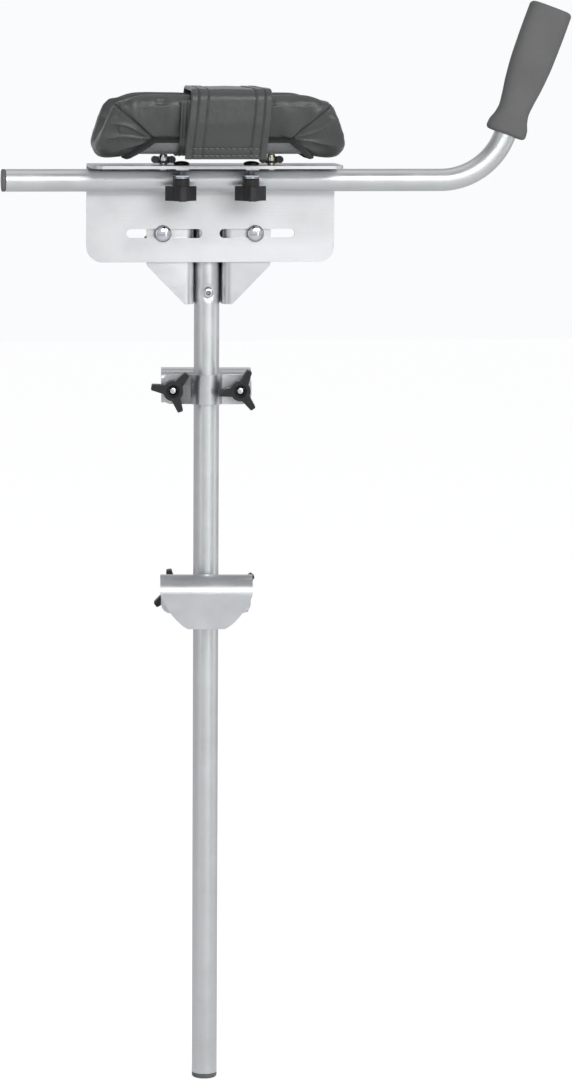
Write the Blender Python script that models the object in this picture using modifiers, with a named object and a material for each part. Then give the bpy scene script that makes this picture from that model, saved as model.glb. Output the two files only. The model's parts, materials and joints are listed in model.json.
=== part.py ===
"""Forearm platform attachment for a walking frame.

A padded arm trough and a sliding, swivelling hand grip stand on a bent plate.  The plate slides
sideways on a bracket at the top of a long post, and two clamps on the post hang over the frame's rails.

Axes: +X towards the hand grip, -Y towards the user's side with the knobs, +Z up.
Origin: on the post's axis, at the bottom of its end cap.  Lengths are in metres.
"""
import math

import bmesh
import bpy
from mathutils import Matrix, Vector

MM = 0.001
GAP = 0.3 * MM              # clearance between pieces that touch
MERGE = 0.00001             # merge distance of modifiers
SMALL_STEPS = 14            # facets round a fastener
TUBE_STEPS = 32             # facets round the post
BEND_STEPS = 6              # facets round a bend or a corner
THROUGH = 50.0 * MM         # how far a cutter runs to pass right through
SCREW_EDGE = 0.8 * MM       # upright rim of a domed head

# Post
POST_RADIUS = 12.7 * MM
POST_WALL = 1.6 * MM
POST_TOP = 889.0 * MM
CAP_HEIGHT = 4.5 * MM
CAP_PLUG_HEIGHT = 18.0 * MM
CAP_EDGE = 1.5 * MM

# Bracket behind the platform plate: a hat-shaped channel round the post
SHEET = 3.0 * MM
BRACKET_BOTTOM = 790.8 * MM
BRACKET_TOP = 901.0 * MM
BRACKET_INNER_HALF_WIDTH = 14.2 * MM
BRACKET_HALF_WIDTH = 62.0 * MM
BRACKET_FLANGE_BACK = -13.2 * MM
BRACKET_BEND_RADIUS = 7.5 * MM      # where the sheet turns in beside the post
BRACKET_WEB_RADIUS = 4.0 * MM       # where it turns behind the post
BRACKET_CORNERS = [2.0 * MM, 2.0 * MM, 5.0 * MM, 6.0 * MM, 6.0 * MM, 5.0 * MM]
GUSSET_HALF_WIDTH = 23.8 * MM
SCREW_HEIGHTS = {"lower": 801.9 * MM, "upper": 876.0 * MM}
SCREW_RADIUS = 2.5 * MM
POST_SCREW_HEAD = {"radius": SCREW_RADIUS, "head_radius": 5.0 * MM, "head_height": 2.2 * MM}
POST_NUT_RADIUS = 4.6 * MM
POST_NUT_THICKNESS = 4.0 * MM
THREAD_END = 1.5 * MM       # how far a thread stands out of its nut or knob

# Platform plate, bent at its top
PLATFORM_X = 1.6 * MM
PLATE_FRONT = -19.6 * MM
PLATE_BACK = -16.5 * MM
PLATE_HALF_WIDTH = 123.8 * MM
PLATE_BOTTOM = 833.0 * MM
PLATE_CORNER_RADIUS = 16.0 * MM
FLANGE_TOP = 931.3 * MM
FLANGE_FRONT = -86.5 * MM
FLANGE_CORNER_RADIUS = 11.0 * MM
FLANGE_BEND_RADIUS = 3.0 * MM
SLOT_HEIGHT = 861.5 * MM
SLOT_SPACING = 92.9 * MM
SLOT_LENGTH = 75.5 * MM
SLOT_WIDTH = 9.0 * MM
SLOT_BOLT_SPACING = 92.4 * MM

# Handle tube and the two clips that hold it under the flange
TUBE_RADIUS = 11.1 * MM
TUBE_WALL = 1.5 * MM
TUBE_Y = -33.2 * MM
TUBE_Z = 915.0 * MM
TUBE_LEFT = -203.8 * MM
TUBE_BEND_START = 229.9 * MM
TUBE_BEND_RADIUS = 69.0 * MM
TUBE_BEND_ANGLE = math.radians(70.0)
TUBE_CAP_LENGTH = 3.5 * MM
TUBE_CAP_PLUG_LENGTH = 15.0 * MM
TUBE_CAP_EDGE = 1.0 * MM
GRIP_HALF_DEPTH = 16.5 * MM         # of its fullest section
GRIP_BORE_DEPTH = 112.0 * MM
GRIP_END_INSET = 1.5 * MM
GRIP_WALL = 2.5 * MM
GRIP_SQUARENESS = 0.72              # exponent that squares an ellipse
# Height above the foot and half width: flared foot, waist, swelling body, blunt top
GRIP_PROFILE = [(0.0, 18.4), (3.0, 20.4), (9.0, 19.9), (18.0, 16.8), (26.0, 15.5), (36.0, 16.5),
                (54.0, 19.1), (80.0, 21.1), (112.0, 21.6), (130.0, 21.5), (134.0, 18.9)]
CLIP_SPACING = 69.0 * MM
CLIP_WIDTH = 13.0 * MM
CLIP_SHEET = 1.5 * MM
CLIP_BOLT_Y = -63.0 * MM
CLIP_LEAF_Z = 920.45 * MM   # middle of the clip's lower leaf
CLIP_TIP_Y = -71.0 * MM
CLIP_WASHER_RADIUS = 7.85 * MM

# Arm trough
TROUGH_X = 1.0 * MM         # from the middle of the platform plate
TROUGH_Y = -62.0 * MM
TROUGH_Z = 994.0 * MM       # centre of the half-round section
SHELL_INNER = 49.0 * MM
SHELL_OUTER = 52.0 * MM
SHELL_HALF_LENGTH = 104.0 * MM
SHELL_RIM = -6.0 * MM
PAD_INNER = 38.0 * MM
PAD_OUTER = 56.0 * MM
PAD_RIM_TOP = 7.0 * MM
# Half of the pad's side view, x and z from the trough's centre, from its flat top to its foot
PAD_END = [(70.0, 12.0), (92.0, 4.0), (104.0, -5.0), (116.0, -24.0),
           (124.0, -40.0), (123.0, -49.0), (116.0, -54.5), (104.0, -60.0)]
ARCH_TOP = -35.0 * MM               # opening in the pad's underside
ARCH_FOOT = -55.0 * MM
ARCH_HALF_TOP = 67.0 * MM
ARCH_HALF_FOOT = 90.0 * MM
TROUGH_SCREW_SPACING = 106.6 * MM
TROUGH_SCREW_RADIUS = 2.5 * MM
TROUGH_SCREW_HEAD = {"radius": TROUGH_SCREW_RADIUS, "head_radius": 4.4 * MM, "head_height": 2.4 * MM}
SPACER_RADIUS = 3.9 * MM
WING_EAR_RADIUS = 3.6 * MM
WING_REACH = 8.4 * MM
WING_HEIGHT = 5.0 * MM
WING_THICKNESS = 3.2 * MM
WING_HUB_RADIUS = 6.2 * MM
STRAP_X = 4.0 * MM                  # of the flap, from the trough's centre
LOWER_STRAP_X = -3.0 * MM
STRAP_WIDTH = 79.0 * MM
STRAP_THICKNESS = 1.5 * MM
FLAP_THICKNESS = 3.0 * MM
PATCH_THICKNESS = 0.8 * MM
PATCH_WIDTH = 48.0 * MM
STRAP_HINGE_Y = -1.7 * MM
STRAP_HINGE_Z = 985.0 * MM
FLAP_TOP = 1005.5 * MM
FLAP_BEND_RADIUS = 9.0 * MM
FLAP_BOTTOM = -46.0 * MM            # below the strap's hinge
FLAP_TUCK = 8.0 * MM                # how far its lower end curves in under the pad

# Clamps
UPPER_CLAMP_Z = 704.9 * MM
LOWER_CLAMP_Z = 497.3 * MM
CLAMP_TURN = math.radians(-6.0)     # the clamps stand turned a little round the post
CLAMP_BOLT_SPACING = 67.2 * MM
SADDLE_HALF_WIDTH = 45.1 * MM
SADDLE_HALF_HEIGHT = 15.1 * MM
SADDLE_BACK = -2.0 * MM
CLAMP_CORNER_RADIUS = 10.0 * MM
HOOK_FACE = 13.0 * MM       # face of the hook plate that bears on the post
HOOD_RADIUS = 18.6 * MM
HOOD_CENTRE_Z = 5.4 * MM    # above the bolts
TONGUE_BOTTOM = -28.5 * MM
TONGUE_SHOULDER = 7.0 * MM
TONGUE_FOOT = 18.0 * MM     # half width of the flat at its bottom
TONGUE_CURVE = 1.5          # exponent of its curved sides: 1 is an ellipse, 2 a straight line
LONG_HOOK_BOTTOM = -17.5 * MM
SHORT_HOOK_TOP = 17.9 * MM
SHORT_HOOK_DEPTH = 38.0 * MM
SHORT_HOOK_BEND = 8.1 * MM
SHORT_HOOK_LIP_BOTTOM = -8.0 * MM
HOOK_HEAD_GAP = 0.5 * MM

# Fasteners
SMALL_BOLT = {"radius": 3.18 * MM, "head_radius": 7.85 * MM, "head_height": 3.7 * MM}
LARGE_BOLT = {"radius": 3.95 * MM, "head_radius": 8.3 * MM, "head_height": 4.4 * MM}
WASHER_THICKNESS = 1.3 * MM
SLOT_WASHER_RADIUS = 7.85 * MM
CLAMP_WASHER_RADIUS = 9.0 * MM
SMALL_KNOB = {"hub": 8.15 * MM, "arm": 16.5 * MM, "root": 9.0 * MM, "tip": 6.5 * MM, "bore": 3.5 * MM}
LARGE_KNOB = {"hub": 10.0 * MM, "arm": 22.0 * MM, "root": 9.0 * MM, "tip": 5.5 * MM, "bore": 4.3 * MM}
KNOB_HEIGHT = 21.8 * MM
KNOB_COLLAR_HEIGHT = 7.6 * MM
KNOB_RECESS_RADIUS = 5.6 * MM
KNOB_RECESS_DEPTH = 5.0 * MM
KNOB_CORNER = 1.2 * MM
BOLT_REACH = KNOB_HEIGHT - KNOB_RECESS_DEPTH + MM     # from a knob's seat to its bolt's end


# ---------------------------------------------------------------- scene, materials

def clear_scene():
    for obj in list(bpy.data.objects):
        bpy.data.objects.remove(obj, do_unlink=True)


def make_collection(name):
    collection = bpy.data.collections.new(name)
    bpy.context.scene.collection.children.link(collection)
    return collection


def make_material(name, colour, roughness, metallic):
    material = bpy.data.materials.new(name)
    material.use_nodes = True
    shader = material.node_tree.nodes["Principled BSDF"]
    shader.inputs["Base Color"].default_value = (*colour, 1.0)
    shader.inputs["Roughness"].default_value = roughness
    shader.inputs["Metallic"].default_value = metallic
    material.diffuse_color = (*colour, 1.0)
    return material


clear_scene()
MODEL = make_collection("forearm_platform_attachment")
GUIDES = make_collection("cutters")
FINISHES = {
    "tube_aluminium": make_material("tube_aluminium", (0.66, 0.67, 0.68), 0.38, 1.0),
    "plate_aluminium": make_material("plate_aluminium", (0.62, 0.63, 0.64), 0.34, 1.0),
    "zinc": make_material("zinc", (0.70, 0.72, 0.75), 0.2, 1.0),
    "black_metal": make_material("black_metal", (0.02, 0.02, 0.022), 0.35, 0.6),
    "black_plastic": make_material("black_plastic", (0.030, 0.030, 0.033), 0.5, 0.0),
    "grey_plastic": make_material("grey_plastic", (0.14, 0.14, 0.145), 0.55, 0.0),
    "shell_plastic": make_material("shell_plastic", (0.22, 0.225, 0.23), 0.45, 0.0),
    "grip_rubber": make_material("grip_rubber", (0.17, 0.17, 0.17), 0.8, 0.0),
    "vinyl": make_material("vinyl", (0.09, 0.093, 0.093), 0.45, 0.0),
    "hook_and_loop": make_material("hook_and_loop", (0.02, 0.02, 0.02), 0.95, 0.0),
}


def empty(name, location, parent=None):
    frame = bpy.data.objects.new(name, None)
    frame.location = location
    frame.parent = parent
    frame.empty_display_size = 0.02
    MODEL.objects.link(frame)
    return frame


def finish_part(obj, finish, parent=None, smooth_angle=35.0):
    """Gives a part its material, its parent and smooth shading on its round faces."""
    obj.data.materials.clear()
    obj.data.materials.append(FINISHES[finish])
    obj.parent = parent
    obj.data.shade_smooth()
    obj.data.set_sharp_from_angle(angle=math.radians(smooth_angle))
    return obj


# ---------------------------------------------------------------- outlines (lists of 2D points)

def arc(centre, radius, start, end, steps):
    """Points on an arc; the angles are in degrees."""
    points = []
    for i in range(steps + 1):
        angle = math.radians(start + (end - start) * i / steps)
        points.append((centre[0] + radius * math.cos(angle), centre[1] + radius * math.sin(angle)))
    return points


def circle(centre, radius, steps=SMALL_STEPS):
    return arc(centre, radius, 0.0, 360.0, steps)[:-1]


def rectangle(low, high):
    return [(low[0], low[1]), (high[0], low[1]), (high[0], high[1]), (low[0], high[1])]


def slot(centre, length, width, steps=8):
    half = (length - width) / 2
    right = arc((centre[0] + half, centre[1]), width / 2, -90.0, 90.0, steps)
    left = arc((centre[0] - half, centre[1]), width / 2, 90.0, 270.0, steps)
    return right + left


def filleted(corners, radii, closed=False, steps=6):
    """The corners joined by straight lines, with each corner rounded to its radius."""
    count = len(corners)
    points = []
    for i, corner in enumerate(corners):
        at_end = not closed and i in (0, count - 1)
        radius = radii[i]
        if at_end or radius <= 0.0:
            points.append(corner)
            continue
        here = Vector(corner)
        back = (Vector(corners[i - 1]) - here).normalized()
        ahead = (Vector(corners[(i + 1) % count]) - here).normalized()
        half_angle = back.angle(ahead) / 2
        reach = radius / math.tan(half_angle)
        centre = here + (back + ahead).normalized() * (radius / math.sin(half_angle))
        first = here + back * reach - centre
        last = here + ahead * reach - centre
        for k in range(steps + 1):
            direction = first.slerp(last, k / steps)
            points.append(tuple(centre + direction.normalized() * radius))
    return points


def strip(path, thickness):
    """The closed outline of a sheet whose middle follows an open path."""
    left, right = [], []
    for i, point in enumerate(path):
        here = Vector(point)
        before = here - Vector(path[i - 1]) if i > 0 else None
        after = Vector(path[i + 1]) - here if i < len(path) - 1 else None
        directions = [d.normalized() for d in (before, after) if d is not None]
        tangent = sum(directions, Vector((0.0, 0.0))).normalized()
        normal = Vector((-tangent.y, tangent.x))
        spread = thickness / 2 / max(0.5, normal.dot(Vector((-directions[0].y, directions[0].x))))
        left.append(tuple(here + normal * spread))
        right.append(tuple(here - normal * spread))
    return left + right[::-1]


# ---------------------------------------------------------------- solids

# For each extrusion direction: the matrix that carries (u, v, depth) to (x, y, z)
PLANES = {
    "X": Matrix(((0, 0, 1, 0), (1, 0, 0, 0), (0, 1, 0, 0), (0, 0, 0, 1))),    # u = y, v = z
    "Y": Matrix(((1, 0, 0, 0), (0, 0, -1, 0), (0, 1, 0, 0), (0, 0, 0, 1))),   # u = x, v = z
    "Z": Matrix.Identity(4),                                                  # u = x, v = y
}


def mesh_object(name, mesh, collection=None):
    obj = bpy.data.objects.new(name, mesh)
    (collection or MODEL).objects.link(obj)
    return obj


def as_mesh(obj, name=None):
    """A new mesh object in place of a curve or of an object with modifiers."""
    bpy.context.view_layer.update()
    evaluated = obj.evaluated_get(bpy.context.evaluated_depsgraph_get())
    mesh = bpy.data.meshes.new_from_object(evaluated)
    model = bmesh.new()
    model.from_mesh(mesh)
    bmesh.ops.remove_doubles(model, verts=model.verts, dist=MERGE)
    bmesh.ops.recalc_face_normals(model, faces=model.faces)
    model.to_mesh(mesh)
    model.free()
    result = mesh_object(name or obj.name, mesh)
    result.matrix_world = obj.matrix_world.copy()
    final_name = name or obj.name
    bpy.data.objects.remove(obj, do_unlink=True)
    result.name = final_name
    result.data.name = final_name
    return result


def extrude(name, loops, direction, low, high):
    """A flat outline, with holes where it has inner loops, extruded from low to high."""
    curve = bpy.data.curves.new(name, "CURVE")
    curve.dimensions = "2D"
    curve.fill_mode = "BOTH"
    curve.extrude = (high - low) / 2
    for loop in loops:
        spline = curve.splines.new("POLY")
        spline.points.add(len(loop) - 1)
        for point, (u, v) in zip(spline.points, loop):
            point.co = (u, v, 0.0, 1.0)
        spline.use_cyclic_u = True
    obj = bpy.data.objects.new(name, curve)
    MODEL.objects.link(obj)
    result = as_mesh(obj, name)
    sign = -1.0 if direction == "Y" else 1.0
    lift = Matrix.Translation((0.0, 0.0, sign * (low + high) / 2))
    result.data.transform(PLANES[direction] @ lift)
    return result


def turned(name, profile, steps=SMALL_STEPS, closed=False):
    """A profile of (radius, height) points, from the top down its outer side, turned about Z."""
    mesh = bpy.data.meshes.new(name)
    model = bmesh.new()
    verts = [model.verts.new((radius, 0.0, height)) for radius, height in profile]
    pairs = list(zip(verts, verts[1:]))
    if closed:
        pairs.append((verts[-1], verts[0]))
    for pair in pairs:
        model.edges.new(pair)
    model.to_mesh(mesh)
    model.free()
    obj = mesh_object(name, mesh)
    screw = obj.modifiers.new("turn", "SCREW")
    screw.steps = steps
    screw.render_steps = steps
    screw.use_merge_vertices = True
    screw.merge_threshold = MERGE
    return as_mesh(obj, name)


def boolean(obj, cutter, operation):
    """Applies one exact Boolean and keeps the cutter as a wire guide."""
    modifier = obj.modifiers.new(operation.lower(), "BOOLEAN")
    modifier.operation = operation
    modifier.solver = "EXACT"
    modifier.object = cutter
    bpy.context.view_layer.update()
    evaluated = obj.evaluated_get(bpy.context.evaluated_depsgraph_get())
    mesh = bpy.data.meshes.new_from_object(evaluated)
    obj.modifiers.clear()
    old_mesh = obj.data
    obj.data = mesh
    mesh.name = obj.name
    bpy.data.meshes.remove(old_mesh)
    for collection in list(cutter.users_collection):
        collection.objects.unlink(cutter)
    GUIDES.objects.link(cutter)
    cutter.name = f"{obj.name}.{operation.lower()}"
    cutter.hide_render = True
    cutter.display_type = "WIRE"
    return obj


def cut(obj, cutter):
    return boolean(obj, cutter, "DIFFERENCE")


def common(obj, other):
    return boolean(obj, other, "INTERSECT")


def joined_mesh(name, parts):
    """One cutter made of several separate solids."""
    model = bmesh.new()
    for part in parts:
        part.data.transform(part.matrix_world)
        model.from_mesh(part.data)
        bpy.data.objects.remove(part, do_unlink=True)
    mesh = bpy.data.meshes.new(name)
    model.to_mesh(mesh)
    model.free()
    return mesh_object(name, mesh)


def copy_of(source, name, location, rotation, finish, parent=None):
    """Another object on the same mesh."""
    obj = mesh_object(name, source.data)
    obj.location = location
    obj.rotation_euler = rotation
    return finish_part(obj, finish, parent)


# ---------------------------------------------------------------- fasteners

def carriage_bolt(name, size, length, dimple=False):
    """A domed bolt along Z: the underside of its head is at 0 and the shank runs down."""
    radius, head_radius, head_height = size["radius"], size["head_radius"], size["head_height"]
    dome = [(0.0, head_height)]
    for degrees in (65.0, 40.0, 15.0):
        angle = math.radians(degrees)
        dome.append((head_radius * math.cos(angle) / math.cos(math.radians(15.0)),
                     SCREW_EDGE + (head_height - SCREW_EDGE) * math.sin(angle)))
    profile = dome + [(head_radius, SCREW_EDGE), (head_radius, 0.0), (radius, 0.0),
                      (radius, -length), (0.0, -length)]
    bolt = turned(name, profile)
    if dimple:
        floor = head_height - 1.3 * MM
        cut(bolt, rod(name + "_socket", 0.36 * head_radius, floor, head_height + MM, steps=6))
    return bolt


def rod(name, radius, low, high, steps=SMALL_STEPS):
    return turned(name, [(0.0, high), (radius, high), (radius, low), (0.0, low)], steps=steps)


def ring(name, outer, inner, low, high, steps=SMALL_STEPS):
    return turned(name, [(inner, high), (outer, high), (outer, low), (inner, low)], steps=steps, closed=True)


def hex_nut(name, radius, bore, thickness):
    """A nut along Z, from 0 upwards."""
    hexagon = circle((0.0, 0.0), radius, 6)
    return extrude(name, [hexagon, circle((0.0, 0.0), bore, 10)], "Z", 0.0, thickness)


def knob_outline(size):
    """Three tapered arms round a hub."""
    points = []
    root, tip, hub, arm = size["root"], size["tip"], size["hub"], size["arm"]
    side = math.degrees(math.asin(root / 2 / hub))
    inset = arm - KNOB_CORNER
    corner = tip / 2 - KNOB_CORNER
    for k in range(3):
        turn = Matrix.Rotation(math.radians(120.0 * k), 2)
        for offset in ((inset, -tip / 2), (arm, -corner), (arm, corner), (inset, tip / 2)):
            points.append(tuple(turn @ Vector(offset)))
        points += arc((0.0, 0.0), hub, 120.0 * k + side, 120.0 * (k + 1) - side, 3)
    return points


def tri_wing_knob(name, size):
    """A knob along Z: its collar starts at 0, its arms are at the far end, with a recess for the bolt."""
    arms = extrude(name, [knob_outline(size)], "Z", KNOB_COLLAR_HEIGHT, KNOB_HEIGHT)
    collar = rod(name + "_collar", size["hub"] * 0.97, 0.0, KNOB_HEIGHT - MM, steps=18)
    boolean(arms, collar, "UNION")
    recess_floor = KNOB_HEIGHT - KNOB_RECESS_DEPTH
    bore = turned(name + "_bore", [(0.0, KNOB_HEIGHT + MM), (KNOB_RECESS_RADIUS, KNOB_HEIGHT + MM),
                                   (KNOB_RECESS_RADIUS, recess_floor), (size["bore"], recess_floor),
                                   (size["bore"], -MM), (0.0, -MM)])
    return cut(arms, bore)


FACING_USER = (math.radians(90.0), 0.0, 0.0)     # a fastener's +Z turned to -Y
FACING_BACK = (math.radians(-90.0), 0.0, 0.0)    # a fastener's +Z turned to +Y
FACING_DOWN = (math.radians(180.0), 0.0, 0.0)


# ---------------------------------------------------------------- post and its bracket

def build_post():
    outer, inner = POST_RADIUS, POST_RADIUS - POST_WALL
    tube = ring("post_tube", outer, inner, CAP_HEIGHT + GAP, POST_TOP, steps=TUBE_STEPS)
    cutters = []
    for height in SCREW_HEIGHTS.values():
        outline = circle((0.0, height), SCREW_RADIUS + GAP)
        cutters.append(extrude("hole", [outline], "Y", -THROUGH, THROUGH))
    cut(tube, joined_mesh("holes", cutters))
    finish_part(tube, "tube_aluminium")

    edge = CAP_EDGE
    plug = inner - GAP
    plug_top = CAP_HEIGHT + CAP_PLUG_HEIGHT
    cap = turned("post_end_cap", [
        (0.0, plug_top), (plug - edge, plug_top), (plug, plug_top - edge), (plug, CAP_HEIGHT),
        (outer, CAP_HEIGHT), (outer, edge), (outer - 0.3 * edge, 0.3 * edge), (outer - edge, 0.0),
        (0.0, 0.0)], steps=TUBE_STEPS)
    finish_part(cap, "grey_plastic")


def build_bracket():
    wall = BRACKET_INNER_HALF_WIDTH + SHEET / 2
    web = POST_RADIUS + GAP + SHEET / 2
    flange = BRACKET_FLANGE_BACK - SHEET / 2
    corners = [(-BRACKET_HALF_WIDTH, flange), (-wall, flange), (-wall, web),
               (wall, web), (wall, flange), (BRACKET_HALF_WIDTH, flange)]
    radii = [0.0, BRACKET_BEND_RADIUS, BRACKET_WEB_RADIUS, BRACKET_WEB_RADIUS, BRACKET_BEND_RADIUS, 0.0]
    hat = strip(filleted(corners, radii, steps=5), SHEET)
    bracket = extrude("post_bracket", [hat], "Z", BRACKET_BOTTOM, BRACKET_TOP)

    side, low, high = BRACKET_HALF_WIDTH, BRACKET_BOTTOM, BRACKET_TOP
    gusset_top = PLATE_BOTTOM - SHEET
    outline = filleted([(-GUSSET_HALF_WIDTH, low), (GUSSET_HALF_WIDTH, low), (side, gusset_top),
                        (side, high), (-side, high), (-side, gusset_top)],
                       BRACKET_CORNERS, closed=True, steps=4)
    common(bracket, extrude("outline", [outline], "Y", -THROUGH, THROUGH))

    outlines = [circle((0.0, height), SCREW_RADIUS + GAP) for height in SCREW_HEIGHTS.values()]
    for sign in (-1, 1):
        centre = (sign * SLOT_BOLT_SPACING / 2, SLOT_HEIGHT)
        outlines.append(circle(centre, LARGE_BOLT["radius"] + GAP))
    cutters = [extrude("hole", [outline], "Y", -THROUGH, THROUGH) for outline in outlines]
    cut(bracket, joined_mesh("holes", cutters))
    finish_part(bracket, "plate_aluminium")


def build_post_screws():
    """Two screws through the post and the bracket's web, with nuts behind."""
    head_y = -POST_RADIUS - GAP
    nut_y = POST_RADIUS + GAP + SHEET + GAP
    length = nut_y + POST_NUT_THICKNESS + THREAD_END - head_y
    screw = carriage_bolt("post_screw_lower", POST_SCREW_HEAD, length, dimple=True)
    nut = hex_nut("post_nut_lower", POST_NUT_RADIUS, SCREW_RADIUS + GAP, POST_NUT_THICKNESS)
    for source, name, y, rotation in ((screw, "post_screw", head_y, FACING_USER),
                                      (nut, "post_nut", nut_y, FACING_BACK)):
        source.location = (0.0, y, SCREW_HEIGHTS["lower"])
        source.rotation_euler = rotation
        finish_part(source, "zinc")
        copy_of(source, f"{name}_upper", (0.0, y, SCREW_HEIGHTS["upper"]), rotation, "zinc")


# ---------------------------------------------------------------- repeated sets of fasteners

def place_pair(source, name, places, rotation, finish, parent, spin=None):
    """The source becomes the left piece, and a copy on the same mesh the right one."""
    for side, location in places.items():
        turn = Matrix.Rotation(math.radians(spin[side] if spin else 0.0), 3, "Z")
        euler = (Matrix.Rotation(rotation[0], 3, "X") @ turn).to_euler()
        if side == "left":
            source.name = f"{name}_left"
            source.location = location
            source.rotation_euler = euler
            finish_part(source, finish, parent)
        else:
            copy_of(source, f"{name}_right", location, euler, finish, parent)


def build_slot_fasteners():
    """Bolts through the plate's slots and the bracket, with washers and knobs behind."""
    half = SLOT_BOLT_SPACING / 2
    head_y = PLATE_FRONT - GAP
    washer_y = BRACKET_FLANGE_BACK + GAP
    knob_y = washer_y + WASHER_THICKNESS + GAP
    length = knob_y + BOLT_REACH - head_y

    bolt = carriage_bolt("slot_bolt_left", LARGE_BOLT, length)
    washer = ring("slot_washer_left", SLOT_WASHER_RADIUS, LARGE_BOLT["radius"] + GAP, 0.0, WASHER_THICKNESS)
    size = dict(SMALL_KNOB, bore=LARGE_BOLT["radius"] + GAP)
    knob = tri_wing_knob("slot_knob_left", size)
    sides = {"left": -half, "right": half}
    place_pair(bolt, "slot_bolt", {s: (x, head_y, SLOT_HEIGHT) for s, x in sides.items()},
               FACING_USER, "zinc", None)
    place_pair(washer, "slot_washer", {s: (x, washer_y, SLOT_HEIGHT) for s, x in sides.items()},
               FACING_BACK, "zinc", None)
    place_pair(knob, "slot_knob", {s: (x, knob_y, SLOT_HEIGHT) for s, x in sides.items()},
               FACING_BACK, "black_plastic", None, {"left": 90.0, "right": 90.0})


# ---------------------------------------------------------------- platform plate

def build_plate(platform):
    thickness = PLATE_BACK - PLATE_FRONT
    middle_y = (PLATE_BACK + PLATE_FRONT) / 2
    middle_z = FLANGE_TOP - thickness / 2
    path = filleted([(middle_y, PLATE_BOTTOM), (middle_y, middle_z), (FLANGE_FRONT, middle_z)],
                    [0.0, FLANGE_BEND_RADIUS, 0.0], steps=BEND_STEPS)
    half = PLATE_HALF_WIDTH
    plate = extrude("platform_plate", [strip(path, thickness)], "X", -half - MM, half + MM)

    corner = PLATE_CORNER_RADIUS
    front = filleted(rectangle((-half, PLATE_BOTTOM), (half, FLANGE_TOP + THROUGH)),
                     [corner, corner, 0.0, 0.0], closed=True, steps=8)
    common(plate, extrude("front_outline", [front], "Y", FLANGE_FRONT - THROUGH, THROUGH))
    corner = FLANGE_CORNER_RADIUS
    top = filleted(rectangle((-half, FLANGE_FRONT), (half, THROUGH)),
                   [corner, corner, 0.0, 0.0], closed=True, steps=BEND_STEPS)
    common(plate, extrude("top_outline", [top], "Z", PLATE_BOTTOM - THROUGH, FLANGE_TOP + THROUGH))

    cutters = []
    for side in (-1, 1):
        outline = slot((side * SLOT_SPACING / 2, SLOT_HEIGHT), SLOT_LENGTH, SLOT_WIDTH)
        cutters.append(extrude("slot", [outline], "Y", -THROUGH, THROUGH))
        clip_hole = (side * CLIP_SPACING / 2, CLIP_BOLT_Y), SMALL_BOLT["radius"] + GAP
        trough_hole = (TROUGH_X + side * TROUGH_SCREW_SPACING / 2, TROUGH_Y), TROUGH_SCREW_RADIUS + GAP
        for centre, radius in (clip_hole, trough_hole):
            outline = circle(centre, radius)
            cutters.append(extrude("hole", [outline], "Z", FLANGE_TOP - THROUGH, FLANGE_TOP + THROUGH))
    cut(plate, joined_mesh("openings", cutters))
    finish_part(plate, "plate_aluminium", platform)


# ---------------------------------------------------------------- handle clips, tube and grip

def build_clips(platform):
    """Straps that pass over, round and under the tube, closed by a bolt and a knob under the flange."""
    loop = TUBE_RADIUS + GAP + CLIP_SHEET / 2
    lower_angle = 180.0 - math.degrees(math.asin((CLIP_LEAF_Z - TUBE_Z) / loop))
    wrap = arc((TUBE_Y, TUBE_Z), loop, 90.0, -360.0 + lower_angle, 22)
    path = [(CLIP_TIP_Y, TUBE_Z + loop)] + wrap + [(CLIP_TIP_Y, CLIP_LEAF_Z)]
    half = CLIP_SPACING / 2
    clip = extrude("handle_clip_left", [strip(path, CLIP_SHEET)], "X", -CLIP_WIDTH / 2, CLIP_WIDTH / 2)
    outline = circle((0.0, CLIP_BOLT_Y), SMALL_BOLT["radius"] + GAP)
    cut(clip, extrude("hole", [outline], "Z", TUBE_Z - THROUGH, TUBE_Z + THROUGH))
    sides = {"left": -half, "right": half}
    place_pair(clip, "handle_clip", {s: (x, 0.0, 0.0) for s, x in sides.items()},
               (0.0, 0.0, 0.0), "zinc", platform)

    head_z = FLANGE_TOP + GAP
    washer_z = CLIP_LEAF_Z - CLIP_SHEET / 2 - GAP
    knob_z = washer_z - WASHER_THICKNESS - GAP
    length = head_z - knob_z + BOLT_REACH
    bolt = carriage_bolt("clip_bolt_left", SMALL_BOLT, length)
    washer = ring("clip_washer_left", CLIP_WASHER_RADIUS, SMALL_BOLT["radius"] + GAP, 0.0, WASHER_THICKNESS)
    knob = tri_wing_knob("clip_knob_left", SMALL_KNOB)
    place_pair(bolt, "clip_bolt", {s: (x, CLIP_BOLT_Y, head_z) for s, x in sides.items()},
               (0.0, 0.0, 0.0), "black_metal", platform)
    place_pair(washer, "clip_washer", {s: (x, CLIP_BOLT_Y, washer_z) for s, x in sides.items()},
               FACING_DOWN, "zinc", platform)
    place_pair(knob, "clip_knob", {s: (x, CLIP_BOLT_Y, knob_z) for s, x in sides.items()},
               FACING_DOWN, "black_plastic", platform, {"left": 90.0, "right": 90.0})


def tube_path():
    """The tube's centre line in its own frame, which starts on its axis at X = 0."""
    points = [(TUBE_LEFT, 0.0)]
    points += arc((TUBE_BEND_START, TUBE_BEND_RADIUS), TUBE_BEND_RADIUS, -90.0,
                  -90.0 + math.degrees(TUBE_BEND_ANGLE), 10)
    direction = Vector((math.cos(TUBE_BEND_ANGLE), math.sin(TUBE_BEND_ANGLE)))
    grip_foot = Vector(points[-1])
    end = grip_foot + direction * (GRIP_BORE_DEPTH - 3 * MM)
    return points + [tuple(end)], grip_foot, direction


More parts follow.
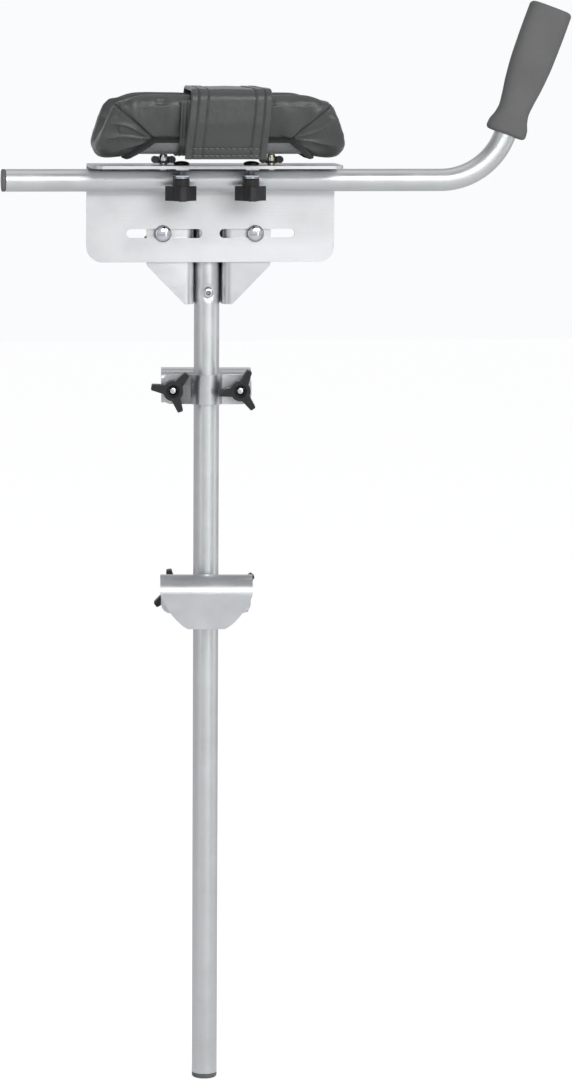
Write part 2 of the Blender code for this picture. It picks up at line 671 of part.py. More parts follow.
def swept_tube(name, path, radius):
    """A round bar along a path in the XZ plane."""
    curve = bpy.data.curves.new(name, "CURVE")
    curve.dimensions = "3D"
    curve.bevel_depth = radius
    curve.bevel_resolution = 8
    curve.use_fill_caps = True
    spline = curve.splines.new("POLY")
    spline.points.add(len(path) - 1)
    for point, (x, z) in zip(spline.points, path):
        point.co = (x, 0.0, z, 1.0)
    obj = bpy.data.objects.new(name, curve)
    MODEL.objects.link(obj)
    return as_mesh(obj, name)


def lofted(name, sections):
    """A closed skin through rings of the same number of points."""
    model = bmesh.new()
    rings = [[model.verts.new(point) for point in section] for section in sections]
    for lower, upper in zip(rings, rings[1:]):
        for k in range(len(lower)):
            j = (k + 1) % len(lower)
            model.faces.new((lower[k], lower[j], upper[j], upper[k]))
    model.faces.new(list(reversed(rings[0])))
    model.faces.new(rings[-1])
    bmesh.ops.recalc_face_normals(model, faces=model.faces)
    mesh = bpy.data.meshes.new(name)
    model.to_mesh(mesh)
    model.free()
    return mesh_object(name, mesh)


def grip_section(height, half_width, half_depth, steps=24):
    """A rounded, flat-sided section."""
    ring_points = []
    for k in range(steps):
        angle = 2 * math.pi * k / steps
        c, s = math.cos(angle), math.sin(angle)
        x = half_width * math.copysign(abs(c) ** GRIP_SQUARENESS, c)
        y = half_depth * math.copysign(abs(s) ** GRIP_SQUARENESS, s)
        ring_points.append((x, y, height))
    return ring_points


def build_handle(platform):
    handle = empty("handle_axis", (-PLATFORM_X, TUBE_Y, TUBE_Z), platform)
    path, grip_foot, direction = tube_path()
    tube = swept_tube("handle_tube", path, TUBE_RADIUS)
    overrun = direction * 5 * MM
    bore_path = [(TUBE_LEFT - 5 * MM, 0.0)] + path[1:-1] + [tuple(Vector(path[-1]) + overrun)]
    cut(tube, swept_tube("bore", bore_path, TUBE_RADIUS - TUBE_WALL))
    finish_part(tube, "tube_aluminium", handle)

    edge = TUBE_CAP_EDGE
    plug = TUBE_RADIUS - TUBE_WALL - GAP
    cap = turned("handle_end_cap", [
        (0.0, TUBE_CAP_LENGTH), (TUBE_RADIUS - edge, TUBE_CAP_LENGTH), (TUBE_RADIUS, TUBE_CAP_LENGTH - edge),
        (TUBE_RADIUS, 0.0), (plug, 0.0), (plug, edge - TUBE_CAP_PLUG_LENGTH),
        (plug - edge, -TUBE_CAP_PLUG_LENGTH), (0.0, -TUBE_CAP_PLUG_LENGTH)], steps=20)
    cap.location = (TUBE_LEFT - GAP, 0.0, 0.0)
    cap.rotation_euler = (0.0, math.radians(-90.0), 0.0)
    finish_part(cap, "grey_plastic", handle)

    fullest = max(half_width for _, half_width in GRIP_PROFILE)
    ends = (GRIP_PROFILE[0][0], GRIP_PROFILE[-1][0])
    sections = []
    for height, half_width in GRIP_PROFILE:
        half_depth = max(GRIP_HALF_DEPTH * half_width / fullest, TUBE_RADIUS + GRIP_WALL)
        if height in ends:
            half_depth -= GRIP_END_INSET
        sections.append(grip_section(height * MM, half_width * MM, half_depth))
    grip = lofted("hand_grip", sections)
    cut(grip, rod("bore", TUBE_RADIUS + GAP, -THROUGH, GRIP_BORE_DEPTH, steps=24))
    lean = math.pi / 2 - TUBE_BEND_ANGLE
    grip.location = (grip_foot.x, 0.0, grip_foot.y)
    grip.rotation_euler = (0.0, lean, 0.0)
    finish_part(grip, "grip_rubber", handle)


# ---------------------------------------------------------------- arm trough

def half_round(inner, outer, rise, steps=24):
    """A half-round trough section; its round rims start at height rise from the centre."""
    outer_dip = math.degrees(math.asin(rise / outer))
    inner_dip = math.degrees(math.asin(rise / inner))
    outside = arc((0.0, 0.0), outer, 180.0 - outer_dip, 360.0 + outer_dip, steps)
    inside = arc((0.0, 0.0), inner, 360.0 + inner_dip, 180.0 - inner_dip, steps)
    middle, half = (outside[-1][0] + inside[0][0]) / 2, (outside[-1][0] - inside[0][0]) / 2
    right_rim = arc((middle, rise), half, 0.0, 180.0, 6)
    left_rim = arc((-middle, rise), half, 0.0, 180.0, 6)
    return outside + right_rim[1:-1] + inside + left_rim[1:-1]


def build_trough(platform):
    trough = empty("trough_centre", (TROUGH_X, TROUGH_Y, TROUGH_Z), platform)

    shell = extrude("trough_shell", [half_round(SHELL_INNER, SHELL_OUTER, SHELL_RIM)], "X",
                    -SHELL_HALF_LENGTH, SHELL_HALF_LENGTH)
    cutters = []
    for side in (-1, 1):
        outline = circle((side * TROUGH_SCREW_SPACING / 2, 0.0), TROUGH_SCREW_RADIUS + GAP)
        cutters.append(extrude("hole", [outline], "Z", -SHELL_OUTER - MM, -SHELL_INNER + MM))
    cut(shell, joined_mesh("holes", cutters))
    finish_part(shell, "shell_plastic", trough)

    build_pad(trough)
    build_trough_fasteners(platform)
    build_strap(trough, platform)


def build_pad(trough):
    """The pad lines the shell, rolls over its rims and ends, and leaves its underside bare in the middle."""
    side_view = [(x * MM, z * MM) for x, z in PAD_END]
    side_view += [(-x, z) for x, z in reversed(side_view)]
    reach = max(x for x, _ in side_view) + MM
    rim = PAD_RIM_TOP - (PAD_OUTER - PAD_INNER) / 2
    pad = extrude("trough_pad", [half_round(PAD_INNER, PAD_OUTER, rim)], "X", -reach, reach)
    common(pad, extrude("side_view", [side_view], "Y", -PAD_OUTER - MM, PAD_OUTER + MM))

    pocket = half_round(SHELL_INNER - GAP, SHELL_OUTER + GAP, SHELL_RIM + GAP)
    cut(pad, extrude("pocket", [pocket], "X", -SHELL_HALF_LENGTH - GAP, SHELL_HALF_LENGTH + GAP))
    opening = half_round(SHELL_INNER - GAP, PAD_OUTER + 8 * MM, -MM)
    under = extrude("under_opening", [opening], "X", -reach, reach)
    low = -PAD_OUTER - 10 * MM
    arch = [(-ARCH_HALF_FOOT, low), (ARCH_HALF_FOOT, low), (ARCH_HALF_FOOT, ARCH_FOOT),
            (ARCH_HALF_TOP, ARCH_TOP), (-ARCH_HALF_TOP, ARCH_TOP), (-ARCH_HALF_FOOT, ARCH_FOOT)]
    common(under, extrude("arch", [arch], "Y", low, -low))
    cut(pad, under)
    finish_part(pad, "vinyl", trough)


def build_trough_fasteners(platform):
    """Spacers hold the shell above the flange; a screw passes through each from below."""
    shell_bottom = TROUGH_Z - SHELL_OUTER
    spacer_low = FLANGE_TOP + GAP
    height = shell_bottom - GAP - spacer_low
    spacer = ring("trough_spacer_left", SPACER_RADIUS, TROUGH_SCREW_RADIUS + GAP, 0.0, height)
    places = {side: (TROUGH_X + sign * TROUGH_SCREW_SPACING / 2, TROUGH_Y, spacer_low)
              for side, sign in (("left", -1), ("right", 1))}
    place_pair(spacer, "trough_spacer", places, (0.0, 0.0, 0.0), "zinc", platform)

    wing = extrude("trough_wing_nut_left", [wing_outline()], "Y", -WING_THICKNESS / 2, WING_THICKNESS / 2)
    low, high = WING_HEIGHT - WING_EAR_RADIUS, WING_HEIGHT + WING_EAR_RADIUS
    boolean(wing, rod("wing_hub", WING_HUB_RADIUS, low + 0.1 * MM, high - 0.1 * MM), "UNION")
    cut(wing, rod("wing_bore", SPACER_RADIUS + GAP, low - MM, high + MM))
    place_pair(wing, "trough_wing_nut", places, (0.0, 0.0, 0.0), "black_plastic", platform)

    head_z = FLANGE_TOP - (PLATE_BACK - PLATE_FRONT) - GAP
    length = TROUGH_Z - SHELL_INNER - MM - head_z
    screw = carriage_bolt("trough_screw_left", TROUGH_SCREW_HEAD, length)
    below = {side: (x, y, head_z) for side, (x, y, z) in places.items()}
    place_pair(screw, "trough_screw", below, FACING_DOWN, "zinc", platform)


def wing_outline():
    """Two round ears on either side of a hub, seen from the front."""
    right = arc((WING_REACH, WING_HEIGHT), WING_EAR_RADIUS, -120.0, 120.0, 6)
    left = arc((-WING_REACH, WING_HEIGHT), WING_EAR_RADIUS, 60.0, 300.0, 6)
    return right + left


def strap_path():
    """Down the far side of the pad, below the bare shell, and up the near side, in the YZ plane."""
    steps = 32
    low_radius = SHELL_OUTER + GAP + STRAP_THICKNESS / 2
    points = []
    for i in range(steps + 1):
        angle = -180.0 * i / steps
        # the strap lies on the shell near the bottom and steps out over the pad's edges
        step_out = min(1.0, max(0.0, (abs(angle + 90.0) - 26.0) / 22.0))
        radius = low_radius + (PAD_OUTER - SHELL_OUTER) * step_out
        points.append((radius * math.cos(math.radians(angle)), radius * math.sin(math.radians(angle))))
    return [(points[0][0], -4 * MM)] + points[1:] + [(points[-1][0], 2 * MM)]


def build_strap(trough, platform):
    """A strap fixed under the trough, and a flap that closes over the arm with hook and loop patches."""
    half = STRAP_WIDTH / 2
    strap = extrude("arm_strap", [strip(strap_path(), STRAP_THICKNESS)], "X",
                    LOWER_STRAP_X - half, LOWER_STRAP_X + half)
    finish_part(strap, "vinyl", trough)

    layer = PAD_OUTER + GAP + STRAP_THICKNESS + GAP
    patch = strip(arc((0.0, 0.0), layer + PATCH_THICKNESS / 2, 187.0, 214.0, 8), PATCH_THICKNESS)
    loop = extrude("strap_loop_patch", [patch], "X", -PATCH_WIDTH / 2, PATCH_WIDTH / 2)
    finish_part(loop, "hook_and_loop", trough)

    hinge = empty("strap_hinge", (TROUGH_X, STRAP_HINGE_Y, STRAP_HINGE_Z), platform)
    near_y = TROUGH_Y - layer - 2 * PATCH_THICKNESS - 2 * GAP - FLAP_THICKNESS / 2 - STRAP_HINGE_Y
    top_z = FLAP_TOP - STRAP_HINGE_Z
    corners = [(0.0, 0.0), (0.0, top_z), (near_y, top_z), (near_y, -12 * MM), (near_y + FLAP_TUCK, FLAP_BOTTOM)]
    radii = [0.0, FLAP_BEND_RADIUS, FLAP_BEND_RADIUS, 30 * MM, 0.0]
    flap_section = strip(filleted(corners, radii, steps=BEND_STEPS), FLAP_THICKNESS)
    flap = extrude("strap_flap", [flap_section], "X", STRAP_X - half, STRAP_X + half)
    finish_part(flap, "vinyl", hinge)

    patch_y = near_y + FLAP_THICKNESS / 2 + GAP + PATCH_THICKNESS / 2
    patch = strip([(patch_y, 5 * MM), (patch_y, -11 * MM)], PATCH_THICKNESS)
    hook = extrude("strap_hook_patch", [patch], "X", -PATCH_WIDTH / 2, PATCH_WIDTH / 2)
    finish_part(hook, "hook_and_loop", hinge)


# ---------------------------------------------------------------- clamps

def post_saddle(name):
    """A plate with a half-round bulge round the post; the wings lie towards -Y."""
    middle = SADDLE_BACK - SHEET / 2
    radius = POST_RADIUS + GAP + SHEET / 2
    start = math.degrees(math.asin(-middle / radius))
    bulge = arc((0.0, 0.0), radius, 180.0 + start, 360.0 - start, 14)
    path = [(-SADDLE_HALF_WIDTH, middle)] + bulge + [(SADDLE_HALF_WIDTH, middle)]
    half_height = SADDLE_HALF_HEIGHT
    saddle = extrude(name, [strip(path, SHEET)], "Z", -half_height, half_height)
    outline = filleted(rectangle((-SADDLE_HALF_WIDTH, -half_height), (SADDLE_HALF_WIDTH, half_height)),
                       [CLAMP_CORNER_RADIUS] * 4, closed=True, steps=5)
    common(saddle, extrude("outline", [outline], "Y", -THROUGH, THROUGH))
    return cut_clamp_holes(saddle)


def cut_clamp_holes(plate):
    cutters = []
    for side in (-1, 1):
        outline = circle((side * CLAMP_BOLT_SPACING / 2, 0.0), LARGE_BOLT["radius"] + GAP)
        cutters.append(extrude("hole", [outline], "Y", -HOOK_FACE, HOOK_FACE + 3 * SHEET))
    return cut(plate, joined_mesh("holes", cutters))


def long_hook(name):
    """A flat plate behind the post that bends over the rail and ends in a half-disc tongue."""
    inside = HOOK_FACE + SHEET / 2
    radius = HOOD_RADIUS - SHEET / 2
    centre_y = HOOK_FACE + HOOD_RADIUS
    hood = arc((centre_y, HOOD_CENTRE_Z), radius, 180.0, 0.0, 16)
    half = SADDLE_HALF_WIDTH
    path = [(inside, LONG_HOOK_BOTTOM)] + hood + [(centre_y + radius, TONGUE_BOTTOM)]
    hook = extrude(name, [strip(path, SHEET)], "X", -half - MM, half + MM)

    # Outlines of the plate and of the tongue, each seen from the front and running up past the hood
    above = HOOD_CENTRE_Z + HOOD_RADIUS + MM
    plate = filleted(rectangle((-half, LONG_HOOK_BOTTOM), (half, above)),
                     [CLAMP_CORNER_RADIUS, CLAMP_CORNER_RADIUS, 0.0, 0.0], closed=True, steps=5)
    outlines = extrude("hook_outlines", [plate], "Y", 0.0, centre_y + MM)
    tongue = extrude("tongue_outline", [tongue_outline(half + MM, above)], "Y", centre_y, centre_y + THROUGH)
    boolean(outlines, tongue, "UNION")
    common(hook, outlines)
    return cut_clamp_holes(hook)


def tongue_outline(half_width, top):
    """Straight down from the hood to the shoulders, then curved sides in to a flat foot."""
    edge = [(half_width, top)]
    for i in range(9):
        angle = math.pi / 2 * i / 8
        edge.append((TONGUE_FOOT + (half_width - TONGUE_FOOT) * math.cos(angle) ** TONGUE_CURVE,
                     TONGUE_SHOULDER - (TONGUE_SHOULDER - TONGUE_BOTTOM) * math.sin(angle) ** TONGUE_CURVE))
    return edge + [(-x, z) for x, z in reversed(edge)]


def short_hook(name):
    """A flat plate behind the post that bends over the rail and ends in a short lip."""
    inside = HOOK_FACE + SHEET / 2
    outside = HOOK_FACE + SHORT_HOOK_DEPTH - SHEET / 2
    top = SHORT_HOOK_TOP - SHEET / 2
    corners = [(inside, -SADDLE_HALF_HEIGHT), (inside, top), (outside, top), (outside, SHORT_HOOK_LIP_BOTTOM)]
    path = filleted(corners, [0.0, SHORT_HOOK_BEND, SHORT_HOOK_BEND, 0.0], steps=7)
    hook = extrude(name, [strip(path, SHEET)], "X", -SADDLE_HALF_WIDTH, SADDLE_HALF_WIDTH)
    return cut_clamp_holes(hook)


def build_clamp(prefix, height, turned_round, hook_builder, knob_spin):
    """Saddle and hook on the post, with bolts whose heads face the rail and knobs on the saddle's side."""
    frame = empty(f"{prefix}_clamp_centre", (0.0, 0.0, height))
    frame.rotation_euler = (0.0, 0.0, CLAMP_TURN + (math.pi if turned_round else 0.0))
    finish_part(post_saddle(f"{prefix}_post_saddle"), "plate_aluminium", frame)
    finish_part(hook_builder(f"{prefix}_rail_hook"), "plate_aluminium", frame)

    half = CLAMP_BOLT_SPACING / 2
    left_sign = 1 if turned_round else -1
    sides = {"left": left_sign * half, "right": -left_sign * half}
    head_y = HOOK_FACE + SHEET + HOOK_HEAD_GAP
    washer_y = SADDLE_BACK - SHEET - GAP
    knob_y = washer_y - WASHER_THICKNESS - GAP
    length = head_y - knob_y + BOLT_REACH + MM
    bolt = carriage_bolt(f"{prefix}_clamp_bolt_left", LARGE_BOLT, length)
    bore = LARGE_BOLT["radius"] + GAP
    washer = ring(f"{prefix}_clamp_washer_left", CLAMP_WASHER_RADIUS, bore, 0.0, WASHER_THICKNESS)
    knob = tri_wing_knob(f"{prefix}_clamp_knob_left", LARGE_KNOB)
    place_pair(bolt, f"{prefix}_clamp_bolt", {s: (x, head_y, 0.0) for s, x in sides.items()},
               FACING_BACK, "zinc", frame)
    place_pair(washer, f"{prefix}_clamp_washer", {s: (x, washer_y, 0.0) for s, x in sides.items()},
               FACING_USER, "zinc", frame)
    place_pair(knob, f"{prefix}_clamp_knob", {s: (x, knob_y, 0.0) for s, x in sides.items()},
               FACING_USER, "black_plastic", frame, knob_spin)


def build_all():
    build_post()
    build_bracket()
    build_post_screws()
    build_slot_fasteners()
    platform = empty("platform_frame", (PLATFORM_X, 0.0, 0.0))
    build_plate(platform)
    build_clips(platform)
    build_handle(platform)
    build_trough(platform)
    build_clamp("upper", UPPER_CLAMP_Z, False, short_hook, {"left": 50.0, "right": 66.0})
    build_clamp("lower", LOWER_CLAMP_Z, True, long_hook, {"left": 81.0, "right": 10.0})


build_all()
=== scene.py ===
"""Looks of a forearm platform attachment for a walking frame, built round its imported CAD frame.

Every piece takes its place from the frame's boxes and joint axes.  Lengths are in metres; MM turns
millimetres into metres.  Axes: +X towards the hand grip, -Y towards the viewer, +Z up.
"""

import json
import math

import bmesh
import bpy
import numpy as np
from mathutils import Matrix, Vector, noise


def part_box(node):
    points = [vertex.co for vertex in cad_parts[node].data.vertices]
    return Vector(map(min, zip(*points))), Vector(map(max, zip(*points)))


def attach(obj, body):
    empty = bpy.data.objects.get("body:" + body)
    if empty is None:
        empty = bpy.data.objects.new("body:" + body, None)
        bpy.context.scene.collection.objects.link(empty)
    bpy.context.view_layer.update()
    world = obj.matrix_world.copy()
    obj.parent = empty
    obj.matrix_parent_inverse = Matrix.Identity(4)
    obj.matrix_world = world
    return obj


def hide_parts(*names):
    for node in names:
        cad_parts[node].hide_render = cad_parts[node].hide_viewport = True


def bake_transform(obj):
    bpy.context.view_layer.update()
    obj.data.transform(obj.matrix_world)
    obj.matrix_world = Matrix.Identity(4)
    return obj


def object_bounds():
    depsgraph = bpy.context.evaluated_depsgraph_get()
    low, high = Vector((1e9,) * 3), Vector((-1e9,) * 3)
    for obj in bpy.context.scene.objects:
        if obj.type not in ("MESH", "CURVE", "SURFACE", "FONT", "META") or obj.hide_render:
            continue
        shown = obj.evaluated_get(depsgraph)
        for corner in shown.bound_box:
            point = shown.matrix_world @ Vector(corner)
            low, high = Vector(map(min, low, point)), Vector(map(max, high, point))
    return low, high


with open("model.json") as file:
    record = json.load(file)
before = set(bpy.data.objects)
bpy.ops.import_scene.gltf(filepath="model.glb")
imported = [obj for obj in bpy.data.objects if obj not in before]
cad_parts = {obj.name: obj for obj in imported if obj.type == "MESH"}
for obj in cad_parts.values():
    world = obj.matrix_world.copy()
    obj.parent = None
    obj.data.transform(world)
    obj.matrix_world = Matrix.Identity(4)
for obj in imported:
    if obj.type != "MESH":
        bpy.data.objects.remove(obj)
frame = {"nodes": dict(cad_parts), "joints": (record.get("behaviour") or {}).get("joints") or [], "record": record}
CAD_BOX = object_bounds()

MM = 0.001
RECORD = frame["record"]
JOINTS = {joint["name"]: joint for joint in frame["joints"]}
BODY_OF = {node: body for body, nodes in RECORD["behaviour"]["bodies"].items() for node in nodes}
SIDES = ("left", "right")

# Sheet metal and fasteners
SHEET = 3.0 * MM
GAP = 0.3 * MM
EDGE = 0.35 * MM                # rounding of sheet edges
COARSE_PITCH = 1.411 * MM       # thread of the larger bolts
FINE_PITCH = 1.27 * MM
LARGE_BOLT = 3.95 * MM
SMALL_BOLT = 3.18 * MM
POST_SCREW = 2.5 * MM           # radius of the post's and the trough's screws
SCREW_HOLE = 2.8 * MM
SCREW_PITCH = 0.8 * MM
TIP_GAP = 0.4 * MM              # how far each bolt's tip stops short of its CAD box
BEYOND = 60.0 * MM              # cutters reach this far past a piece
PRESSED_HEAD = (8.3 * MM, 4.4 * MM)     # radius and height of the larger bolts' heads


# ================================================================ small helpers

def box_centre(node):
    low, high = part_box(node)
    return (low + high) / 2


def box_size(node):
    low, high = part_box(node)
    return high - low


def show(obj, name, material, node, second=None):
    """Names a piece and gives it its material; it then stands for the node and moves with its body."""
    indices = [face.material_index for face in obj.data.polygons]
    obj.name = name
    obj.data.materials.clear()
    obj.data.materials.append(MATERIALS[material])
    if second is not None:
        obj.data.materials.append(MATERIALS[second])
        obj.data.polygons.foreach_set("material_index", indices)
    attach(obj, BODY_OF[node])
    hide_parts(node)


def placed(name, data):
    """A new object in the scene."""
    obj = bpy.data.objects.new(name, data)
    bpy.context.scene.collection.objects.link(obj)
    return obj


def from_bmesh(model, mesh):
    """Writes a bmesh into a mesh and frees it."""
    model.to_mesh(mesh)
    model.free()
    return mesh


def mesh_piece(name, verts, faces, matrix=None, smooth_angle=32.0):
    """A closed mesh with its faces pointing out, placed by a matrix that is baked into it."""
    mesh = bpy.data.meshes.new(name)
    mesh.from_pydata([tuple(v) for v in verts], [], [tuple(f) for f in faces])
    model = bmesh.new()
    model.from_mesh(mesh)
    bmesh.ops.remove_doubles(model, verts=model.verts, dist=1e-6)
    bmesh.ops.recalc_face_normals(model, faces=model.faces)
    obj = placed(name, from_bmesh(model, mesh))
    if matrix is not None:
        mesh.transform(matrix)
    shade(obj, smooth_angle)
    return obj


def shade(obj, smooth_angle=32.0):
    obj.data.shade_smooth()
    obj.data.set_sharp_from_angle(angle=math.radians(smooth_angle))


def applied(obj):
    """Bakes the object's modifiers into its mesh."""
    bpy.context.view_layer.update()
    mesh = evaluated_mesh(obj)
    obj.modifiers.clear()
    obj.data = mesh
    return obj


def evaluated_mesh(obj):
    return bpy.data.meshes.new_from_object(obj.evaluated_get(bpy.context.evaluated_depsgraph_get()))


def round_edges(obj, width=EDGE, segments=2, angle=40.0):
    bevel = obj.modifiers.new("round", "BEVEL")
    bevel.width = width
    bevel.segments = segments
    bevel.limit_method = "ANGLE"
    bevel.angle_limit = math.radians(angle)
    bevel.harden_normals = True
    bevel.use_clamp_overlap = True
    obj.data.shade_smooth()
    return applied(obj)


def boolean(obj, cutter, operation):
    modifier = obj.modifiers.new("boolean", "BOOLEAN")
    modifier.operation = operation
    modifier.solver = "EXACT"
    modifier.object = cutter
    applied(obj)
    bpy.data.objects.remove(cutter, do_unlink=True)
    return obj


def joined(name, objects):
    """One object holding the meshes of several."""
    model = bmesh.new()
    for obj in objects:
        model.from_mesh(obj.data)
        bpy.data.objects.remove(obj, do_unlink=True)
    return placed(name, from_bmesh(model, bpy.data.meshes.new(name)))


def smooth_step(low, high, value):
    t = min(1.0, max(0.0, (value - low) / (high - low)))
    return t * t * (3.0 - 2.0 * t)


# ================================================================ outlines

def arc(centre, radius, start, end, steps):
    """Points on an arc; the angles are in degrees."""
    points = []
    for i in range(steps + 1):
        angle = math.radians(start + (end - start) * i / steps)
        points.append((centre[0] + radius * math.cos(angle), centre[1] + radius * math.sin(angle)))
    return points


def circle(centre, radius, steps=48):
    return arc(centre, radius, 0.0, 360.0, steps)[:-1]


def rectangle(low, high):
    return [(low[0], low[1]), (high[0], low[1]), (high[0], high[1]), (low[0], high[1])]


def filleted(corners, radii, closed=False, steps=10):
    """The corners joined by straight lines, with each corner rounded to its radius."""
    count = len(corners)
    points = []
    for i, corner in enumerate(corners):
        if radii[i] <= 0.0 or (not closed and i in (0, count - 1)):
            points.append(corner)
            continue
        here = Vector(corner)
        back = (Vector(corners[i - 1]) - here).normalized()
        ahead = (Vector(corners[(i + 1) % count]) - here).normalized()
        half_angle = back.angle(ahead) / 2
        reach = radii[i] / math.tan(half_angle)
        centre = here + (back + ahead).normalized() * (radii[i] / math.sin(half_angle))
        first = here + back * reach - centre
        last = here + ahead * reach - centre
        for k in range(steps + 1):
            direction = first.slerp(last, k / steps)
            points.append(tuple(centre + direction.normalized() * radii[i]))
    return points


def strip(path, thickness):
    """The closed outline of a sheet whose middle follows an open path."""
    left, right = [], []
    for i, point in enumerate(path):
        here = Vector(point)
        before = here - Vector(path[i - 1]) if i > 0 else None
        after = Vector(path[i + 1]) - here if i < len(path) - 1 else None
        directions = [d.normalized() for d in (before, after) if d is not None]
        tangent = sum(directions, Vector((0.0, 0.0))).normalized()
        normal = Vector((-tangent.y, tangent.x))
        spread = thickness / 2 / max(0.5, normal.dot(Vector((-directions[0].y, directions[0].x))))
        left.append(tuple(here + normal * spread))
        right.append(tuple(here - normal * spread))
    return left + right[::-1]


def half_round(inner, outer, rise, steps=48):
    """A half-round trough section in the YZ plane; its round rims start at height rise."""
    outer_dip = math.degrees(math.asin(rise / outer))
    inner_dip = math.degrees(math.asin(rise / inner))
    outside = arc((0.0, 0.0), outer, 180.0 - outer_dip, 360.0 + outer_dip, steps)
    inside = arc((0.0, 0.0), inner, 360.0 + inner_dip, 180.0 - inner_dip, steps)
    middle = (outside[-1][0] + inside[0][0]) / 2
    half = (outside[-1][0] - inside[0][0]) / 2
    right_rim = arc((middle, rise), half, 0.0, 180.0, 8)
    left_rim = arc((-middle, rise), half, 0.0, 180.0, 8)
    return outside + right_rim[1:-1] + inside + left_rim[1:-1]


# ================================================================ solids

# The matrix that carries an outline's (u, v, depth) to (x, y, z)
PLANES = {
    "X": Matrix(((0, 0, 1, 0), (1, 0, 0, 0), (0, 1, 0, 0), (0, 0, 0, 1))),
    "Y": Matrix(((1, 0, 0, 0), (0, 0, -1, 0), (0, 1, 0, 0), (0, 0, 0, 1))),
    "Z": Matrix.Identity(4),
}


def extruded(name, loops, direction, low, high):
    """A flat outline with its holes, extruded from low to high along an axis."""
    curve = bpy.data.curves.new(name, "CURVE")
    curve.dimensions = "2D"
    curve.fill_mode = "BOTH"
    curve.extrude = (high - low) / 2
    for loop in loops:
        spline = curve.splines.new("POLY")
        spline.points.add(len(loop) - 1)
        for point, (u, v) in zip(spline.points, loop):
            point.co = (u, v, 0.0, 1.0)
        spline.use_cyclic_u = True
    holder = placed(name, curve)
    bpy.context.view_layer.update()
    mesh = evaluated_mesh(holder)
    bpy.data.objects.remove(holder, do_unlink=True)
    model = bmesh.new()
    model.from_mesh(mesh)
    bmesh.ops.remove_doubles(model, verts=model.verts, dist=1e-5)
    bmesh.ops.recalc_face_normals(model, faces=model.faces)
    from_bmesh(model, mesh)
    sign = -1.0 if direction == "Y" else 1.0
    mesh.transform(PLANES[direction] @ Matrix.Translation((0.0, 0.0, sign * (low + high) / 2)))
    return placed(name, mesh)


def cut(piece, outline, direction, low, high, operation="DIFFERENCE"):
    """Cuts an extruded outline out of a piece, or joins it on, or keeps only what lies inside it."""
    return boolean(piece, extruded("cutter", [outline], direction, low, high), operation)


def turned(name, profile, steps=64, closed=False, matrix=None):
    """A profile of (radius, z) points turned about Z; a zero radius is a pole."""
    verts, faces, rings = [], [], []
    for radius, z in profile:
        count = 1 if radius < 1e-6 else steps
        rings.append([len(verts) + k for k in range(count)])
        for k in range(count):
            angle = 2 * math.pi * k / steps
            verts.append((radius * math.cos(angle), radius * math.sin(angle), z))
    pairs = list(zip(rings, rings[1:]))
    if closed:
        pairs.append((rings[-1], rings[0]))
    for upper, lower in pairs:
        for k in range(steps):
            j = (k + 1) % steps
            above = [upper[k % len(upper)], upper[j % len(upper)]]
            below = [lower[k % len(lower)], lower[j % len(lower)]]
            faces.append(list(dict.fromkeys((above[0], *below, above[1]))))
    return mesh_piece(name, verts, faces, matrix)


def loft(name, rings, closed=False, smooth_angle=32.0):
    """A skin through rings with the same number of points, capped or closed end to end."""
    count = len(rings[0])
    verts = [point for ring in rings for point in ring]
    faces = []
    spans = len(rings) if closed else len(rings) - 1
    for i in range(spans):
        below, above = i * count, ((i + 1) % len(rings)) * count
        for k in range(count):
            j = (k + 1) % count
            faces.append((below + k, below + j, above + j, above + k))
    if not closed:
        faces.append(tuple(range(count))[::-1])
        faces.append(tuple((len(rings) - 1) * count + k for k in range(count)))
    return mesh_piece(name, verts, faces, smooth_angle=smooth_angle)


def bolt_shank(radius, length, pitch, start=0.0):
    """Rings of a threaded shank that runs down from 0: plain to start, then a helical thread."""
    steps = 28
    depth = 0.45 * pitch
    rows = max(8, int((length - start) / pitch * 7))
    rings = [[(radius, 0.0)] * steps] if start > 0 else []
    for i in range(rows + 1):
        z = start + (length - start) * i / rows
        end_taper = min(1.0, (length - z) / (1.2 * MM) + 0.35)
        ring = []
        for k in range(steps):
            phase = (z / pitch + k / steps) % 1.0
            groove = abs(2.0 * phase - 1.0) if start + pitch < z else 0.0
            ring.append(((radius - depth * groove) * end_taper ** 0.3, -z))
        rings.append(ring)
    return [[(r * math.cos(2 * math.pi * k / steps), r * math.sin(2 * math.pi * k / steps), z)
             for k, (r, z) in enumerate(ring)] for ring in rings]


def dome_bolt(name, radius, head_radius, head_height, length, pitch, matrix, socket=0.0):
    """A domed bolt along Z: the underside of its head is at 0 and the threaded shank runs down."""
    rim = 0.8 * MM
    dome = [(0.0, head_height)]
    for i in range(1, 15):
        angle = math.radians(90.0 - 78.0 * i / 14)
        dome.append((head_radius * math.cos(angle) / math.cos(math.radians(12.0)),
                     rim + (head_height - rim) * math.sin(angle)))
    if socket > 0:
        dome = [(0.0, head_height - 1.4 * MM), (socket * 0.7, head_height - 1.5 * MM),
                (socket, head_height - 0.3 * MM)] + [p for p in dome if p[0] > socket * 1.15]
    underside = [(head_radius, 0.5 * rim), (head_radius - 0.2 * MM, 0.0), (0.0, 0.0)]
    head = turned(name + "_head", dome + underside)
    shank = loft(name + "_shank", bolt_shank(radius, length, pitch, start=2 * MM))
    shank.data.transform(Matrix.Translation((0.0, 0.0, 0.4 * MM)))
    head_faces = len(head.data.polygons)
    bolt = joined(name, [head, shank])
    for face in list(bolt.data.polygons)[head_faces:]:
        face.material_index = 1
    bolt.data.transform(matrix)
    shade(bolt, 40.0)
    return bolt


def washer(outer, inner, thickness, matrix):
    edge = 0.25 * MM
    section = filleted(rectangle((inner, 0.0), (outer, thickness)), [edge] * 4, closed=True, steps=3)
    return turned("washer", section[::-1], steps=56, closed=True, matrix=matrix)


